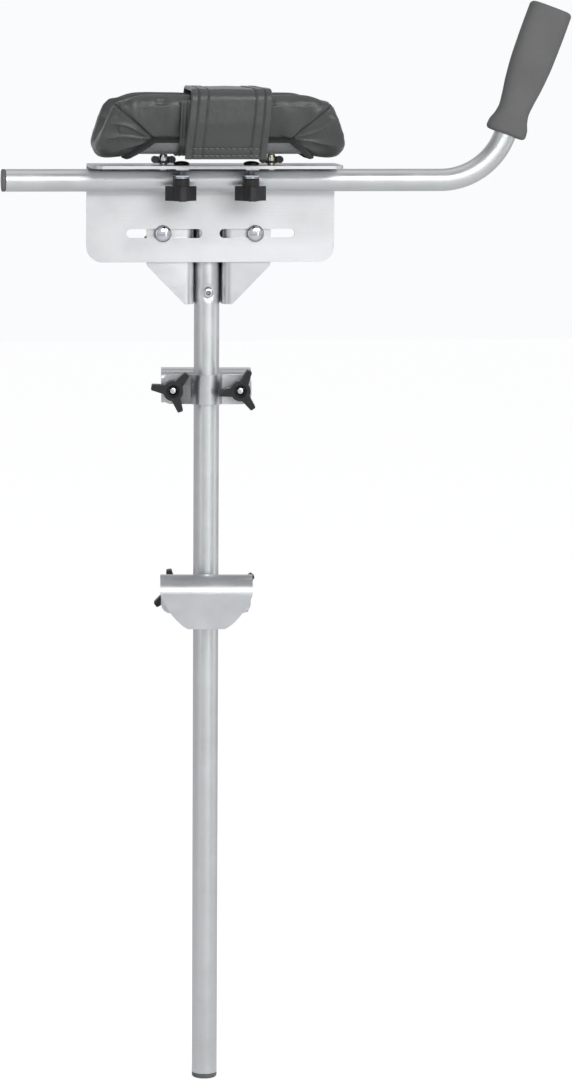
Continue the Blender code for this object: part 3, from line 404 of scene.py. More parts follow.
def knob_outline(hub, arm, root, tip):
    """Three tapered arms round a hub, with small fillets at the arms' tips."""
    corners, radii = [], []
    side = math.degrees(math.asin(root / 2 / hub))
    for k in range(3):
        turn = Matrix.Rotation(math.radians(120.0 * k), 2)
        for offset in ((arm, -tip / 2), (arm, tip / 2)):
            corners.append(tuple(turn @ Vector(offset)))
            radii.append(1.3 * MM)
        for point in arc((0.0, 0.0), hub, 120.0 * k + side, 120.0 * (k + 1) - side, 8):
            corners.append(point)
            radii.append(0.0)
    return filleted(corners, radii, closed=True, steps=4)


def tri_wing_knob(hub, arm, root, tip, height, matrix):
    """A moulded knob along Z: round collar from 0, three wings at the far end, recess for the bolt."""
    collar_height, recess, recess_depth = 7.6 * MM, 5.6 * MM, 5.0 * MM
    wings = extruded("wings", [knob_outline(hub, arm, root, tip)], "Z", collar_height, height)
    collar_profile = [(0.0, height - 1.5 * MM), (hub * 0.97, height - 1.5 * MM), (hub * 0.97, 0.6 * MM),
                      (hub * 0.97 - 0.6 * MM, 0.0), (0.0, 0.0)]
    boolean(wings, turned("collar", collar_profile, steps=40), "UNION")
    floor = height - recess_depth
    bore = [(0.0, height + MM), (recess + 2.2 * MM, height + MM), (recess, height - 1.2 * MM),
            (recess, floor), (0.8 * recess, floor), (0.8 * recess, -MM), (0.0, -MM)]
    boolean(wings, turned("bore", bore, steps=40), "DIFFERENCE")
    round_edges(wings, 0.6 * MM, 3, 35.0)
    wings.data.transform(matrix)
    return wings


def axis_frame(point, axis, spin=0.0):
    """Carries +Z at the origin to an axis through a point; spin turns about that axis."""
    turn = Matrix.Rotation(math.radians(spin), 4, "Z")
    axis = Vector(axis).normalized()
    if axis.z < -0.99:
        lay = Matrix.Rotation(math.pi, 4, "X")
    elif axis.z > 0.99:
        lay = Matrix.Identity(4)
    else:
        heading = Matrix.Rotation(math.atan2(axis.x, -axis.y), 4, "Z")
        lay = heading @ Matrix.Rotation(math.radians(90.0), 4, "X")
    return Matrix.Translation(point) @ lay @ turn


# ================================================================ materials

class Tree:
    """Short calls for building a node tree."""

    def __init__(self, tree):
        self.tree = tree

    def add(self, kind, inputs=None, **settings):
        node = self.tree.nodes.new(kind)
        for key, value in settings.items():
            setattr(node, key, value)
        for key, value in (inputs or {}).items():
            if isinstance(value, bpy.types.NodeSocket):
                self.tree.links.new(value, node.inputs[key])
            else:
                node.inputs[key].default_value = value
        return node

    def span(self, value, low, high, out_low, out_high):
        return self.add("ShaderNodeMapRange", {"Value": value, "From Min": low, "From Max": high,
                                               "To Min": out_low, "To Max": out_high}).outputs["Result"]

    def math(self, operation, a, b):
        return self.add("ShaderNodeMath", {0: a, 1: b}, operation=operation).outputs["Value"]


class Nodes(Tree):
    """The node tree of one material."""

    def __init__(self, name):
        self.material = bpy.data.materials.new(name)
        self.material.use_nodes = True
        super().__init__(self.material.node_tree)
        self.shader = self.tree.nodes["Principled BSDF"]
        self.position = self.add("ShaderNodeTexCoord").outputs["Object"]

    def set(self, key, value):
        if isinstance(value, bpy.types.NodeSocket):
            self.tree.links.new(value, self.shader.inputs[key])
        else:
            self.shader.inputs[key].default_value = value

    def stretched(self, scale):
        return self.add("ShaderNodeMapping", {"Vector": self.position, "Scale": scale}).outputs["Vector"]

    def noise(self, scale, detail=3.0, rough=0.5, vector=None):
        node = self.add("ShaderNodeTexNoise", {"Vector": vector or self.position, "Scale": scale,
                                               "Detail": detail, "Roughness": rough})
        return node.outputs["Fac"]

    def cells(self, scale, feature="F1", vector=None):
        node = self.add("ShaderNodeTexVoronoi", {"Vector": vector or self.position, "Scale": scale},
                        feature=feature)
        return node.outputs["Distance"]

    def blend(self, factor, first, second):
        node = self.add("ShaderNodeMix", data_type="RGBA")
        for socket, value in ((node.inputs[0], factor), (node.inputs[6], first), (node.inputs[7], second)):
            if isinstance(value, bpy.types.NodeSocket):
                self.tree.links.new(value, socket)
            else:
                socket.default_value = value if isinstance(value, float) else (*value[:3], 1.0)
        return node.outputs[2]

    def mottled(self, clouds, colour, dark, light):
        """The colour, clouded between a darker and a lighter tint."""
        return self.blend(self.span(clouds, 0.3, 0.7, 0.0, 1.0), tint(colour, dark), tint(colour, light))

    def hollows(self, tone, colour, depth, factor):
        """A tone with painted shade: darker in hollow places."""
        return self.blend(self.span(self.edges(0.40, 0.49), 0.0, 1.0, depth, 0.0), tone, tint(colour, factor))

    def raised(self, tone, colour, low, high, share, factor):
        """A tone with a painted highlight: lighter along raised edges."""
        return self.blend(self.math("MULTIPLY", self.edges(low, high), share), tone, tint(colour, factor))

    def bump(self, height, strength, distance, below=None):
        inputs = {"Height": height, "Strength": strength, "Distance": distance}
        if below is not None:
            inputs["Normal"] = below
        return self.add("ShaderNodeBump", inputs).outputs["Normal"]

    def edges(self, low, high):
        """0 on flat and hollow places, 1 along raised edges."""
        pointed = self.add("ShaderNodeNewGeometry").outputs["Pointiness"]
        return self.span(pointed, low, high, 0.0, 1.0)


def tint(colour, factor):
    return tuple(min(1.0, c * factor) for c in colour)


def aluminium(name, colour, grain, roughness, speckle=0.05):
    """Satin aluminium with drawn or brushed lines along the axis on which grain is smallest, and a painted
    highlight along raised edges.
    """
    n = Nodes(name)
    lines = n.noise(1.0, 4.0, 0.65, n.stretched(grain))
    clouds = n.noise(38.0, 3.0, 0.6)
    grit = n.noise(2400.0, 2.0, 0.5)
    scratches = n.cells(95.0, "DISTANCE_TO_EDGE", n.stretched((1.0, 1.6, 0.35)))
    tone = n.mottled(clouds, colour, 0.95, 1.04)
    tone = n.blend(n.span(lines, 0.35, 0.65, 0.0, 0.22), tone, tint(colour, 0.86))
    tone = n.blend(n.span(grit, 0.4, 0.62, 0.0, speckle), tone, tint(colour, 1.3))
    # painted highlight: lighter along raised edges
    tone = n.raised(tone, colour, 0.53, 0.62, 0.5, 1.22)
    n.set("Base Color", tone)
    n.set("Metallic", 1.0)
    worn = n.span(scratches, 0.0, 0.02, -0.06, 0.0)
    rough = n.math("ADD", n.span(clouds, 0.3, 0.7, roughness - 0.05, roughness + 0.06), worn)
    n.set("Roughness", n.math("ADD", rough, n.span(lines, 0.3, 0.7, -0.04, 0.05)))
    fine = n.bump(lines, 0.16, 0.00008)
    n.set("Normal", n.bump(grit, 0.12, 0.00005, fine))
    return n.material


def plated(name, colour, roughness, haze):
    """Bright plating with a faint haze, and painted shade: darker in hollows and on faces that turn away from the
    camera.
    """
    n = Nodes(name)
    clouds = n.noise(210.0, 4.0, 0.6)
    grit = n.noise(1800.0, 2.0, 0.5)
    tone = n.blend(n.span(clouds, 0.35, 0.7, 0.0, 0.8), colour, haze)
    # painted shade: darker in hollow places
    tone = n.hollows(tone, colour, 0.75, 0.35)
    # painted shade: darker on faces that turn away from the camera
    facing_shade = n.add("ShaderNodeLayerWeight", {"Blend": 0.4}).outputs["Facing"]
    tone = n.blend(n.span(facing_shade, 0.06, 0.34, 0.0, 0.85), tone, tint(colour, 0.2))
    n.set("Base Color", tone)
    n.set("Metallic", 1.0)
    n.set("Roughness", n.span(clouds, 0.3, 0.7, roughness, roughness + 0.12))
    n.set("Normal", n.bump(grit, 0.1, 0.00004))
    return n.material


def moulded(name, colour, roughness, texture_scale, edge_highlight):
    """Moulded plastic with a fine spark-eroded texture and a painted highlight along raised edges."""
    n = Nodes(name)
    texture = n.noise(texture_scale, 3.0, 0.6)
    clouds = n.noise(120.0, 3.0, 0.5)
    tone = n.mottled(clouds, colour, 0.85, 1.18)
    # painted highlight: lighter along raised edges
    n.set("Base Color", n.raised(tone, colour, 0.52, 0.60, edge_highlight, 3.2))
    n.set("Roughness", n.span(texture, 0.35, 0.65, roughness - 0.08, roughness + 0.08))
    n.set("Specular IOR Level", 0.45)
    n.set("Normal", n.bump(texture, 0.35, 0.00012))
    return n.material


def rubber(name, colour):
    """Matte foam rubber: close pores and faint clouding."""
    n = Nodes(name)
    pores = n.cells(1500.0)
    clouds = n.noise(26.0, 4.0, 0.6)
    fine = n.noise(3200.0, 2.0, 0.6)
    tone = n.mottled(clouds, colour, 0.93, 1.07)
    tone = n.blend(n.span(pores, 0.05, 0.35, 0.25, 0.0), tone, tint(colour, 0.6))
    n.set("Base Color", tone)
    n.set("Roughness", n.span(fine, 0.3, 0.7, 0.74, 0.92))
    n.set("Specular IOR Level", 0.25)
    n.set("Normal", n.bump(fine, 0.25, 0.0001, n.bump(pores, 0.35, 0.00012)))
    return n.material


def vinyl(name, colour, seam_attribute=False):
    """Soft upholstery vinyl: pebbled grain, fine creases, a painted highlight on high places and painted shade in
    hollows.
    """
    n = Nodes(name)
    warp = n.noise(420.0, 2.0, 0.5)
    pebbles = n.cells(950.0)
    creases = n.cells(520.0, "DISTANCE_TO_EDGE")
    clouds = n.noise(22.0, 4.0, 0.62)
    grain = n.math("ADD", n.math("MULTIPLY", pebbles, 0.7), n.span(creases, 0.0, 0.12, 0.0, 0.5))
    tone = n.mottled(clouds, colour, 0.9, 1.1)
    tone = n.blend(n.span(creases, 0.0, 0.08, 0.35, 0.0), tone, tint(colour, 0.55))
    # painted highlight: lighter on raised places
    tone = n.raised(tone, colour, 0.51, 0.56, 0.35, 1.5)
    # painted shade: darker in hollow places
    tone = n.hollows(tone, colour, 0.85, 0.2)
    if seam_attribute:
        seam = n.add("ShaderNodeAttribute", attribute_name="seam").outputs["Fac"]
        tone = n.blend(seam, tone, tint(colour, 0.18))
    n.set("Base Color", tone)
    n.set("Roughness", n.span(warp, 0.3, 0.7, 0.29, 0.42))
    n.set("Specular IOR Level", 0.5)
    n.set("Sheen Weight", 0.06)
    folds = n.bump(n.noise(75.0, 3.0, 0.55), 0.3, 0.0009)
    n.set("Normal", n.bump(grain, 0.4, 0.00016, folds))
    return n.material


def woven(name, colour, scale, rough=0.9):
    """Textile: crossed yarns and loose fibres."""
    n = Nodes(name)
    warp = n.add("ShaderNodeTexWave", {"Vector": n.stretched((1.0, 0.2, 0.2)), "Scale": scale,
                                       "Distortion": 0.6, "Detail": 1.0}).outputs["Fac"]
    weft = n.add("ShaderNodeTexWave", {"Vector": n.stretched((0.2, 1.0, 1.0)), "Scale": scale,
                                       "Distortion": 0.6, "Detail": 1.0}, bands_direction="Z").outputs["Fac"]
    fibres = n.noise(2600.0, 3.0, 0.7)
    yarn = n.math("MAXIMUM", warp, weft)
    tone = n.blend(n.span(yarn, 0.2, 0.9, 0.0, 1.0), tint(colour, 0.45), tint(colour, 1.25))
    tone = n.blend(n.span(fibres, 0.45, 0.75, 0.0, 0.4), tone, tint(colour, 2.2))
    n.set("Base Color", tone)
    n.set("Roughness", rough)
    n.set("Sheen Weight", 0.25)
    n.set("Normal", n.bump(fibres, 0.3, 0.0001, n.bump(yarn, 0.5, 0.0003)))
    return n.material


VINYL_GREY = (0.083, 0.087, 0.0855)
TUBE_GREY = (0.77, 0.79, 0.795)
MATERIALS = {
    "post": aluminium("drawn_aluminium_upright", TUBE_GREY, (1500.0, 1500.0, 14.0), 0.38),
    "handle": aluminium("drawn_aluminium_level", TUBE_GREY, (14.0, 1500.0, 1500.0), 0.39),
    "plate": aluminium("brushed_aluminium_level", (0.715, 0.725, 0.735), (18.0, 1700.0, 1700.0), 0.42),
    "clamp": aluminium("brushed_aluminium_upright", (0.72, 0.735, 0.75), (1300.0, 1300.0, 22.0), 0.36),
    "zinc": plated("bright_zinc", (0.78, 0.80, 0.83), 0.07, (0.62, 0.66, 0.72)),
    "spacer": plated("yellow_zinc", (0.74, 0.70, 0.60), 0.2, (0.66, 0.56, 0.36)),
    "black_metal": plated("black_oxide", (0.035, 0.036, 0.04), 0.28, (0.06, 0.06, 0.065)),
    "knob": moulded("black_nylon", (0.019, 0.019, 0.0205), 0.46, 1500.0, 0.5),
    "cap": moulded("grey_cap_plastic", (0.16, 0.163, 0.167), 0.5, 1300.0, 0.25),
    "shell": moulded("grey_shell_plastic", (0.36, 0.365, 0.37), 0.42, 900.0, 0.2),
    "grip": rubber("grip_rubber", (0.185, 0.185, 0.183)),
    "vinyl": vinyl("pad_vinyl", VINYL_GREY, seam_attribute=True),
    "strap_vinyl": vinyl("strap_vinyl", VINYL_GREY),
    "thread": woven("sewing_thread", (0.17, 0.174, 0.172), 900.0, 0.6),
    "binding": woven("edge_binding", (0.016, 0.016, 0.017), 700.0),
    "pile": woven("hook_and_loop_pile", (0.02, 0.02, 0.021), 900.0, 0.95),
}


# ================================================================ post and bracket

POST_RADIUS = box_size("post_end_cap").x / 2
POST_WALL = 1.6 * MM
DISH_RADIUS = 10.5 * MM          # pressed hollow round each post screw
DISH_DEPTH = 1.3 * MM


def build_post():
    """Drawn tube, with a shallow hollow pressed in round each screw."""
    low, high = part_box("post_tube")
    screws = [box_centre(f"post_screw_{place}").z for place in ("lower", "upper")]
    heights = {low.z, low.z + 0.4 * MM, high.z - 0.4 * MM, high.z}
    for screw in screws:
        for i in range(-12, 13):
            heights.add(min(high.z, screw + i * MM))
    spans, around = 20, 120
    for i in range(1, spans):
        z = low.z + (high.z - low.z) * i / spans
        if all(abs(z - screw) > 14 * MM for screw in screws):
            heights.add(z)
    outer, inner = [], []
    for z in sorted(heights):
        chamfer = 0.4 * MM if z in (low.z, high.z) else 0.0
        ring = []
        for k in range(around):
            angle = 2 * math.pi * k / around
            x, y = POST_RADIUS * math.cos(angle), POST_RADIUS * math.sin(angle)
            hollow = 0.0
            if y < 0:
                away = min(math.hypot(x, z - screw) for screw in screws)
                hollow = DISH_DEPTH * (1.0 - smooth_step(0.2, 1.0, away / DISH_RADIUS))
            radius = POST_RADIUS - chamfer - hollow
            ring.append((radius * math.cos(angle), radius * math.sin(angle), z))
        outer.append(ring)
        inner.append([(x, y, z) for x, y in circle((0.0, 0.0), POST_RADIUS - POST_WALL, around)])
    tube = loft("tube", outer + inner[::-1], closed=True)
    show(tube, "post_tube_drawn", "post", "post_tube")


def build_post_cap():
    low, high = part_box("post_end_cap")
    rim = 4.5 * MM
    plug = POST_RADIUS - POST_WALL - GAP
    corners = [(0.0, high.z), (plug, high.z), (plug, low.z + rim), (POST_RADIUS, low.z + rim),
               (POST_RADIUS, low.z), (0.0, low.z)]
    profile = filleted(corners, [0.0, 1.2 * MM, 0.2 * MM, 0.5 * MM, 2.4 * MM, 0.0], steps=6)
    show(turned("cap", profile, steps=96), "post_end_cap_moulded", "cap", "post_end_cap")


def build_bracket():
    """Hat-shaped sheet behind the plate: flanges beside the post, web behind it."""
    low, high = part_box("post_bracket")
    half = (high.x - low.x) / 2
    flange = low.y + SHEET / 2
    web = high.y - SHEET / 2
    wall = 15.7 * MM
    corners = [(-half - MM, flange), (-wall, flange), (-wall, web),
               (wall, web), (wall, flange), (half + MM, flange)]
    hat = strip(filleted(corners, [0.0, 7.5 * MM, 4.0 * MM, 4.0 * MM, 7.5 * MM, 0.0], steps=10), SHEET)
    bracket = extruded("bracket", [hat], "Z", low.z - MM, high.z + MM)
    gusset_half, gusset_top = 23.8 * MM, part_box("platform_plate")[0].z - SHEET
    outline = filleted([(-gusset_half, low.z), (gusset_half, low.z), (half, gusset_top), (half, high.z),
                        (-half, high.z), (-half, gusset_top)],
                       [2 * MM, 2 * MM, 5 * MM, 6 * MM, 6 * MM, 5 * MM], closed=True, steps=8)
    cut(bracket, outline, "Y", -BEYOND, BEYOND, "INTERSECT")
    holes = [(0.0, box_centre(f"post_screw_{place}").z, SCREW_HOLE) for place in ("lower", "upper")]
    for side in SIDES:
        bolt = box_centre(f"slot_bolt_{side}")
        holes.append((bolt.x, bolt.z, LARGE_BOLT + GAP))
    for x, z, radius in holes:
        cut(bracket, circle((x, z), radius), "Y", -BEYOND, BEYOND)
    round_edges(bracket)
    show(bracket, "post_bracket_pressed", "clamp", "post_bracket")


def build_post_screws():
    for place in ("lower", "upper"):
        low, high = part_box(f"post_screw_{place}")
        head_height = 2.2 * MM
        seat = Vector((0.0, low.y + head_height, (low.z + high.z) / 2))
        screw = dome_bolt("screw", POST_SCREW, 5.0 * MM, head_height, high.y - seat.y - TIP_GAP,
                          SCREW_PITCH, axis_frame(seat, (0, -1, 0)), socket=2.1 * MM)
        show(screw, f"post_screw_{place}_turned", "zinc", f"post_screw_{place}")
        low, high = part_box(f"post_nut_{place}")
        size = high - low
        hexagon = circle((0.0, 0.0), size.x / 2, 6)
        nut = extruded("nut", [hexagon, circle((0.0, 0.0), 2.75 * MM, 32)], "Z", 0.0, size.y)
        round_edges(nut, 0.4 * MM, 3)
        nut.data.transform(axis_frame(Vector((0.0, low.y, (low.z + high.z) / 2)), (0, 1, 0)))
        show(nut, f"post_nut_{place}_turned", "zinc", f"post_nut_{place}")


# ================================================================ platform plate

def slot(centre, length, width):
    half = (length - width) / 2
    right = arc((centre[0] + half, centre[1]), width / 2, -90.0, 90.0, 16)
    left = arc((centre[0] - half, centre[1]), width / 2, 90.0, 270.0, 16)
    return right + left


def build_plate():
    """Bent plate: an upright sheet with two slots, and a flange towards the viewer."""
    low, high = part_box("platform_plate")
    middle_x = (low.x + high.x) / 2
    thickness = 3.1 * MM
    middle_y, middle_z = high.y - thickness / 2, high.z - thickness / 2
    bend = [(middle_y, low.z), (middle_y, middle_z), (low.y, middle_z)]
    path = filleted(bend, [0.0, 3.0 * MM, 0.0], steps=12)
    plate = extruded("plate", [strip(path, thickness)], "X", low.x - MM, high.x + MM)
    corner = 16.0 * MM
    front = filleted(rectangle((low.x, low.z), (high.x, high.z + BEYOND)), [corner, corner, 0.0, 0.0],
                     closed=True, steps=16)
    cut(plate, front, "Y", low.y - BEYOND, BEYOND, "INTERSECT")
    corner = 11.0 * MM
    top = filleted(rectangle((low.x, low.y), (high.x, BEYOND)), [corner, corner, 0.0, 0.0],
                   closed=True, steps=12)
    cut(plate, top, "Z", low.z - BEYOND, high.z + BEYOND, "INTERSECT")
    slot_z = box_centre("slot_bolt_left").z
    spacing, length, width = 92.9 * MM, 75.5 * MM, 9.0 * MM
    for sign in (-1, 1):
        cut(plate, slot((middle_x + sign * spacing / 2, slot_z), length, width), "Y", -BEYOND, 0.0)
    for node, radius in (("clip_bolt", SMALL_BOLT), ("trough_screw", POST_SCREW)):
        for side in SIDES:
            centre = box_centre(f"{node}_{side}")
            cut(plate, circle((centre.x, centre.y), radius + GAP), "Z", high.z - 20 * MM, high.z + 20 * MM)
    round_edges(plate)
    show(plate, "platform_plate_bent", "plate", "platform_plate")


# ================================================================ knobs, washers, bolts

# Bolt radius and thread pitch, head radius and height, washer radius, knob size, spin of the two knobs
SMALL_KNOB = (8.15 * MM, 16.5 * MM, 9.0 * MM, 6.5 * MM)     # hub, arm, arm's width at its root and tip
LARGE_KNOB = (10.0 * MM, 22.0 * MM, 9.0 * MM, 5.5 * MM)
KNOB_SETS = {
    "slot": (LARGE_BOLT, COARSE_PITCH, PRESSED_HEAD, 7.85 * MM, SMALL_KNOB, (90.0, 90.0)),
    "clip": (SMALL_BOLT, FINE_PITCH, (7.85 * MM, 3.7 * MM), 7.85 * MM, SMALL_KNOB, (90.0, 90.0)),
    "upper_clamp": (LARGE_BOLT, COARSE_PITCH, PRESSED_HEAD, 9.0 * MM, LARGE_KNOB, (50.0, 66.0)),
    "lower_clamp": (LARGE_BOLT, COARSE_PITCH, PRESSED_HEAD, 9.0 * MM, LARGE_KNOB, (81.0, 10.0)),
}


def build_knob_sets():
    """Every knob with its washer and its bolt, on the axes that the frame's joints state."""
    for kind, (radius, pitch, head, washer_radius, knob_size, spins) in KNOB_SETS.items():
        for side, spin in zip(SIDES, spins):
            joint = JOINTS[f"{kind}_knob_turn_{side}"]
            axis, through = Vector(joint["axis"]), Vector(joint["pos_m"])

            node = f"{kind}_knob_{side}"
            start, end = span_along(node, axis, through)
            place = axis_frame(through + axis * start, axis, spin)
            show(tri_wing_knob(*knob_size, end - start, place), node + "_moulded", "knob", node)

            node = f"{kind}_washer_{side}"
            start, end = span_along(node, axis, through)
            place = axis_frame(through + axis * start, axis)
            ring = washer(washer_radius, radius + GAP, end - start, place)
            show(ring, node + "_turned", "zinc", node)

            node = f"{kind}_bolt_{side}"
            start, end = span_along(node, axis, through)
            place = axis_frame(through + axis * (start + head[1]), -axis)
            bolt = dome_bolt("bolt", radius, *head, end - start - head[1] - TIP_GAP, pitch, place)
            show(bolt, node + "_turned", "black_metal" if kind == "clip" else "zinc", node, second="zinc")


def span_along(node, axis, through):
    """The node's first and last distance along an axis, from a point on it."""
    reach = [(vertex.co - through).dot(axis) for vertex in frame["nodes"][node].data.vertices]
    return min(reach), max(reach)


# ================================================================ handle

TUBE_RADIUS = box_size("handle_end_cap").z / 2
TUBE_WALL = 1.5 * MM
HANDLE_AXIS = Vector(JOINTS["handle_swivel"]["pos_m"])
STRAIGHT_LENGTH = 433.7 * MM
GRIPPED_LENGTH = 109.0 * MM
BEND_RADIUS = 69.0 * MM
BEND_ANGLE = math.radians(70.0)
# The grip's half width at heights above its foot, in millimetres
GRIP_PROFILE = [(0.0, 20.6), (9.0, 19.9), (18.0, 16.8), (26.0, 15.5), (36.0, 16.5),
                (54.0, 19.1), (80.0, 21.1), (112.0, 21.6), (134.0, 21.5)]


def build_handle():
    """A straight tube under the platform that bends up to an angled grip."""
    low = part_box("handle_tube")[0]
    bend_start = low.x + STRAIGHT_LENGTH
    centres = [(low.x, 0.0, 0.0), (low.x + 0.4 * MM, 0.0, 0.0)]
    for i in range(1, 12):
        centres.append((low.x + (bend_start - low.x) * i / 12, 0.0, 0.0))
    for x, z in arc((bend_start, BEND_RADIUS), BEND_RADIUS, -90.0, -90.0 + math.degrees(BEND_ANGLE), 48):
        centres.append((x, z, (x - bend_start) / BEND_RADIUS))
    direction = Vector((math.cos(BEND_ANGLE), 0.0, math.sin(BEND_ANGLE)))
    foot = Vector((centres[-1][0], 0.0, centres[-1][1]))
    end = foot + direction * GRIPPED_LENGTH
    centres.append((end.x, end.z, math.sin(BEND_ANGLE)))
    outer, inner = [], []
    steps = 72
    for i, (x, z, lean_sine) in enumerate(centres):
        lean = math.asin(min(1.0, lean_sine))
        across = Vector((-math.sin(lean), 0.0, math.cos(lean)))
        chamfer = 0.4 * MM if i == 0 else 0.0
        for radius, rings in ((TUBE_RADIUS - chamfer, outer), (TUBE_RADIUS - TUBE_WALL, inner)):
            ring = []
            for k in range(steps):
                angle = 2 * math.pi * k / steps
                point = Vector((x, 0.0, z)) + across * radius * math.cos(angle)
                point += Vector((0.0, radius * math.sin(angle), 0.0))
                ring.append(point + Vector((0.0, HANDLE_AXIS.y, HANDLE_AXIS.z)))
            rings.append(ring)
    tube = loft("tube", outer + inner[::-1], closed=True)
    show(tube, "handle_tube_bent", "handle", "handle_tube")
    build_handle_cap()
    build_grip(foot + Vector((0.0, HANDLE_AXIS.y, HANDLE_AXIS.z)), math.pi / 2 - BEND_ANGLE)


def build_handle_cap():
    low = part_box("handle_end_cap")[0]
    plug = TUBE_RADIUS - TUBE_WALL - GAP
    length, depth = 3.5 * MM, 15 * MM
    corners = [(0.0, length), (TUBE_RADIUS, length), (TUBE_RADIUS, 0.0), (plug, 0.0), (plug, -depth),
               (0.0, -depth)]
    profile = filleted(corners, [0.0, 1.3 * MM, 0.3 * MM, 0.2 * MM, 1.0 * MM, 0.0], steps=6)
    place = Matrix.Translation((low.x + length, HANDLE_AXIS.y, HANDLE_AXIS.z))
    place = place @ Matrix.Rotation(math.radians(-90.0), 4, "Y")
    cap = turned("cap", profile, steps=72, matrix=place)
    show(cap, "handle_end_cap_moulded", "cap", "handle_end_cap")


def smooth_profile(points, value):
    """Cubic interpolation through (position, value) points, without overshoot."""
    for i in range(len(points) - 1):
        if value <= points[i + 1][0]:
            break
    (x0, y0), (x1, y1) = points[i], points[i + 1]
    width = x1 - x0

    def slope(k):
        if k in (0, len(points) - 1):
            return 0.0 if k else (points[1][1] - points[0][1]) / (points[1][0] - points[0][0])
        before = (points[k][1] - points[k - 1][1]) / (points[k][0] - points[k - 1][0])
        after = (points[k + 1][1] - points[k][1]) / (points[k + 1][0] - points[k][0])
        return 0.0 if before * after <= 0 else 2 * before * after / (before + after)

    t = (value - x0) / width
    return ((2 * t ** 3 - 3 * t ** 2 + 1) * y0 + (t ** 3 - 2 * t ** 2 + t) * width * slope(i)
            + (-2 * t ** 3 + 3 * t ** 2) * y1 + (t ** 3 - t ** 2) * width * slope(i + 1))


def build_grip(foot, lean):
    """Flat-sided grip with a flared foot, a waist and a blunt top, hollow for the tube."""
    length, corner = GRIP_PROFILE[-1][0], 4.2
    fullest, its_half_depth, least_half_depth = 21.6, 16.5, 13.6
    rings = []
    rows = 90
    for i in range(rows + 1):
        height = length * (0.5 - 0.5 * math.cos(math.pi * i / rows))
        half_width = smooth_profile(GRIP_PROFILE, height)
        half_depth = max(its_half_depth * half_width / fullest, least_half_depth)
        end = min(height, length - height)
        inset = corner - math.sqrt(max(0.0, corner ** 2 - (corner - end) ** 2)) if end < corner else 0.0
        size = ((half_width - inset) * MM, (half_depth - inset) * MM)
        rings.append(superellipse(*size, height * MM, 0.72, 72))
    bore, depth = TUBE_RADIUS + GAP, GRIPPED_LENGTH + 3 * MM
    inside = [superellipse(bore, bore, z, 1.0, 72) for z in (depth, 0.0)]
    grip = loft("grip", inside + rings)
    grip.data.transform(Matrix.Translation(foot) @ Matrix.Rotation(lean, 4, "Y"))
    show(grip, "hand_grip_moulded", "grip", "hand_grip")


def superellipse(half_width, half_depth, z, power, steps):
    """A ring that is an ellipse at power 1 and squarer below it."""
    ring = []
    for k in range(steps):
        angle = 2 * math.pi * (k + 0.5) / steps
        c, s = math.cos(angle), math.sin(angle)
        ring.append((half_width * math.copysign(abs(c) ** power, c),
                     half_depth * math.copysign(abs(s) ** power, s), z))
    return ring


def build_clips():
    """Strap clips that hold the handle tube under the flange."""
    for side in SIDES:
        low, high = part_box(f"handle_clip_{side}")
        thickness = 1.5 * MM
        loop = high.z - HANDLE_AXIS.z - thickness / 2
        leaf = 5.45 * MM
        lower_angle = 180.0 - math.degrees(math.asin(leaf / loop))
        wrap = arc((HANDLE_AXIS.y, HANDLE_AXIS.z), loop, 90.0, -360.0 + lower_angle, 60)
        path = [(low.y, HANDLE_AXIS.z + loop)] + wrap + [(low.y, HANDLE_AXIS.z + leaf)]
        clip = extruded("clip", [strip(path, thickness)], "X", low.x, high.x)
        bolt = box_centre(f"clip_bolt_{side}")
        hole = circle((bolt.x, bolt.y), SMALL_BOLT + GAP)
        cut(clip, hole, "Z", HANDLE_AXIS.z, HANDLE_AXIS.z + 40 * MM)
        round_edges(clip, 0.3 * MM)
        show(clip, f"handle_clip_{side}_bent", "zinc", f"handle_clip_{side}")


# ================================================================ arm trough

SHELL_INNER, SHELL_OUTER = 49.0 * MM, 52.0 * MM
SHELL_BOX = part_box("trough_shell")
TROUGH = Vector((box_centre("trough_shell").x, box_centre("trough_shell").y, SHELL_BOX[0].z + SHELL_OUTER))
SHELL_HALF_LENGTH = 100.0 * MM     # its ends are buried in the pad
PAD_INNER, PAD_OUTER = 38.0 * MM, 56.0 * MM
ARCH_TOP, ARCH_FOOT = -35.0 * MM, -55.0 * MM
ARCH_HALF_TOP, ARCH_HALF_FOOT = 67.0 * MM, 90.0 * MM
# The pad's right end in the side view: (x, z) in millimetres from the trough's centre
PAD_END = [(70.0, 12.5), (90.0, 6.5), (107.0, -1.0), (116.0, -18.0),
           (124.0, -38.0), (123.5, -49.0), (116.0, -54.5), (104.0, -60.0)]
STRAP_REACH = 48.0 * MM         # the strap passes over the pad this far from the trough's middle
DENT_CAP = 1.6 * MM             # how far the cloth may sink inwards
SWELL_STEPS = 20
SHELL_CLEAR = 53.4 * MM         # the vinyl outside the shell stays beyond this radius
SEAM_TOP = (106.0 * MM, -2.0 * MM)      # where each diagonal end seam starts, (x, z) from the trough's centre


def build_shell():
    section = half_round(SHELL_INNER, SHELL_OUTER, -6 * MM)
    section = [(y + TROUGH.y, z + TROUGH.z) for y, z in section]
    shell = extruded("shell", [section], "X", TROUGH.x - SHELL_HALF_LENGTH, TROUGH.x + SHELL_HALF_LENGTH)
    low = SHELL_BOX[0]
    for side in SIDES:
        centre = box_centre(f"trough_screw_{side}")
        cut(shell, circle((centre.x, centre.y), SCREW_HOLE), "Z", low.z - MM, low.z + 8 * MM)
    round_edges(shell, 0.4 * MM)
    show(shell, "trough_shell_formed", "shell", "trough_shell")


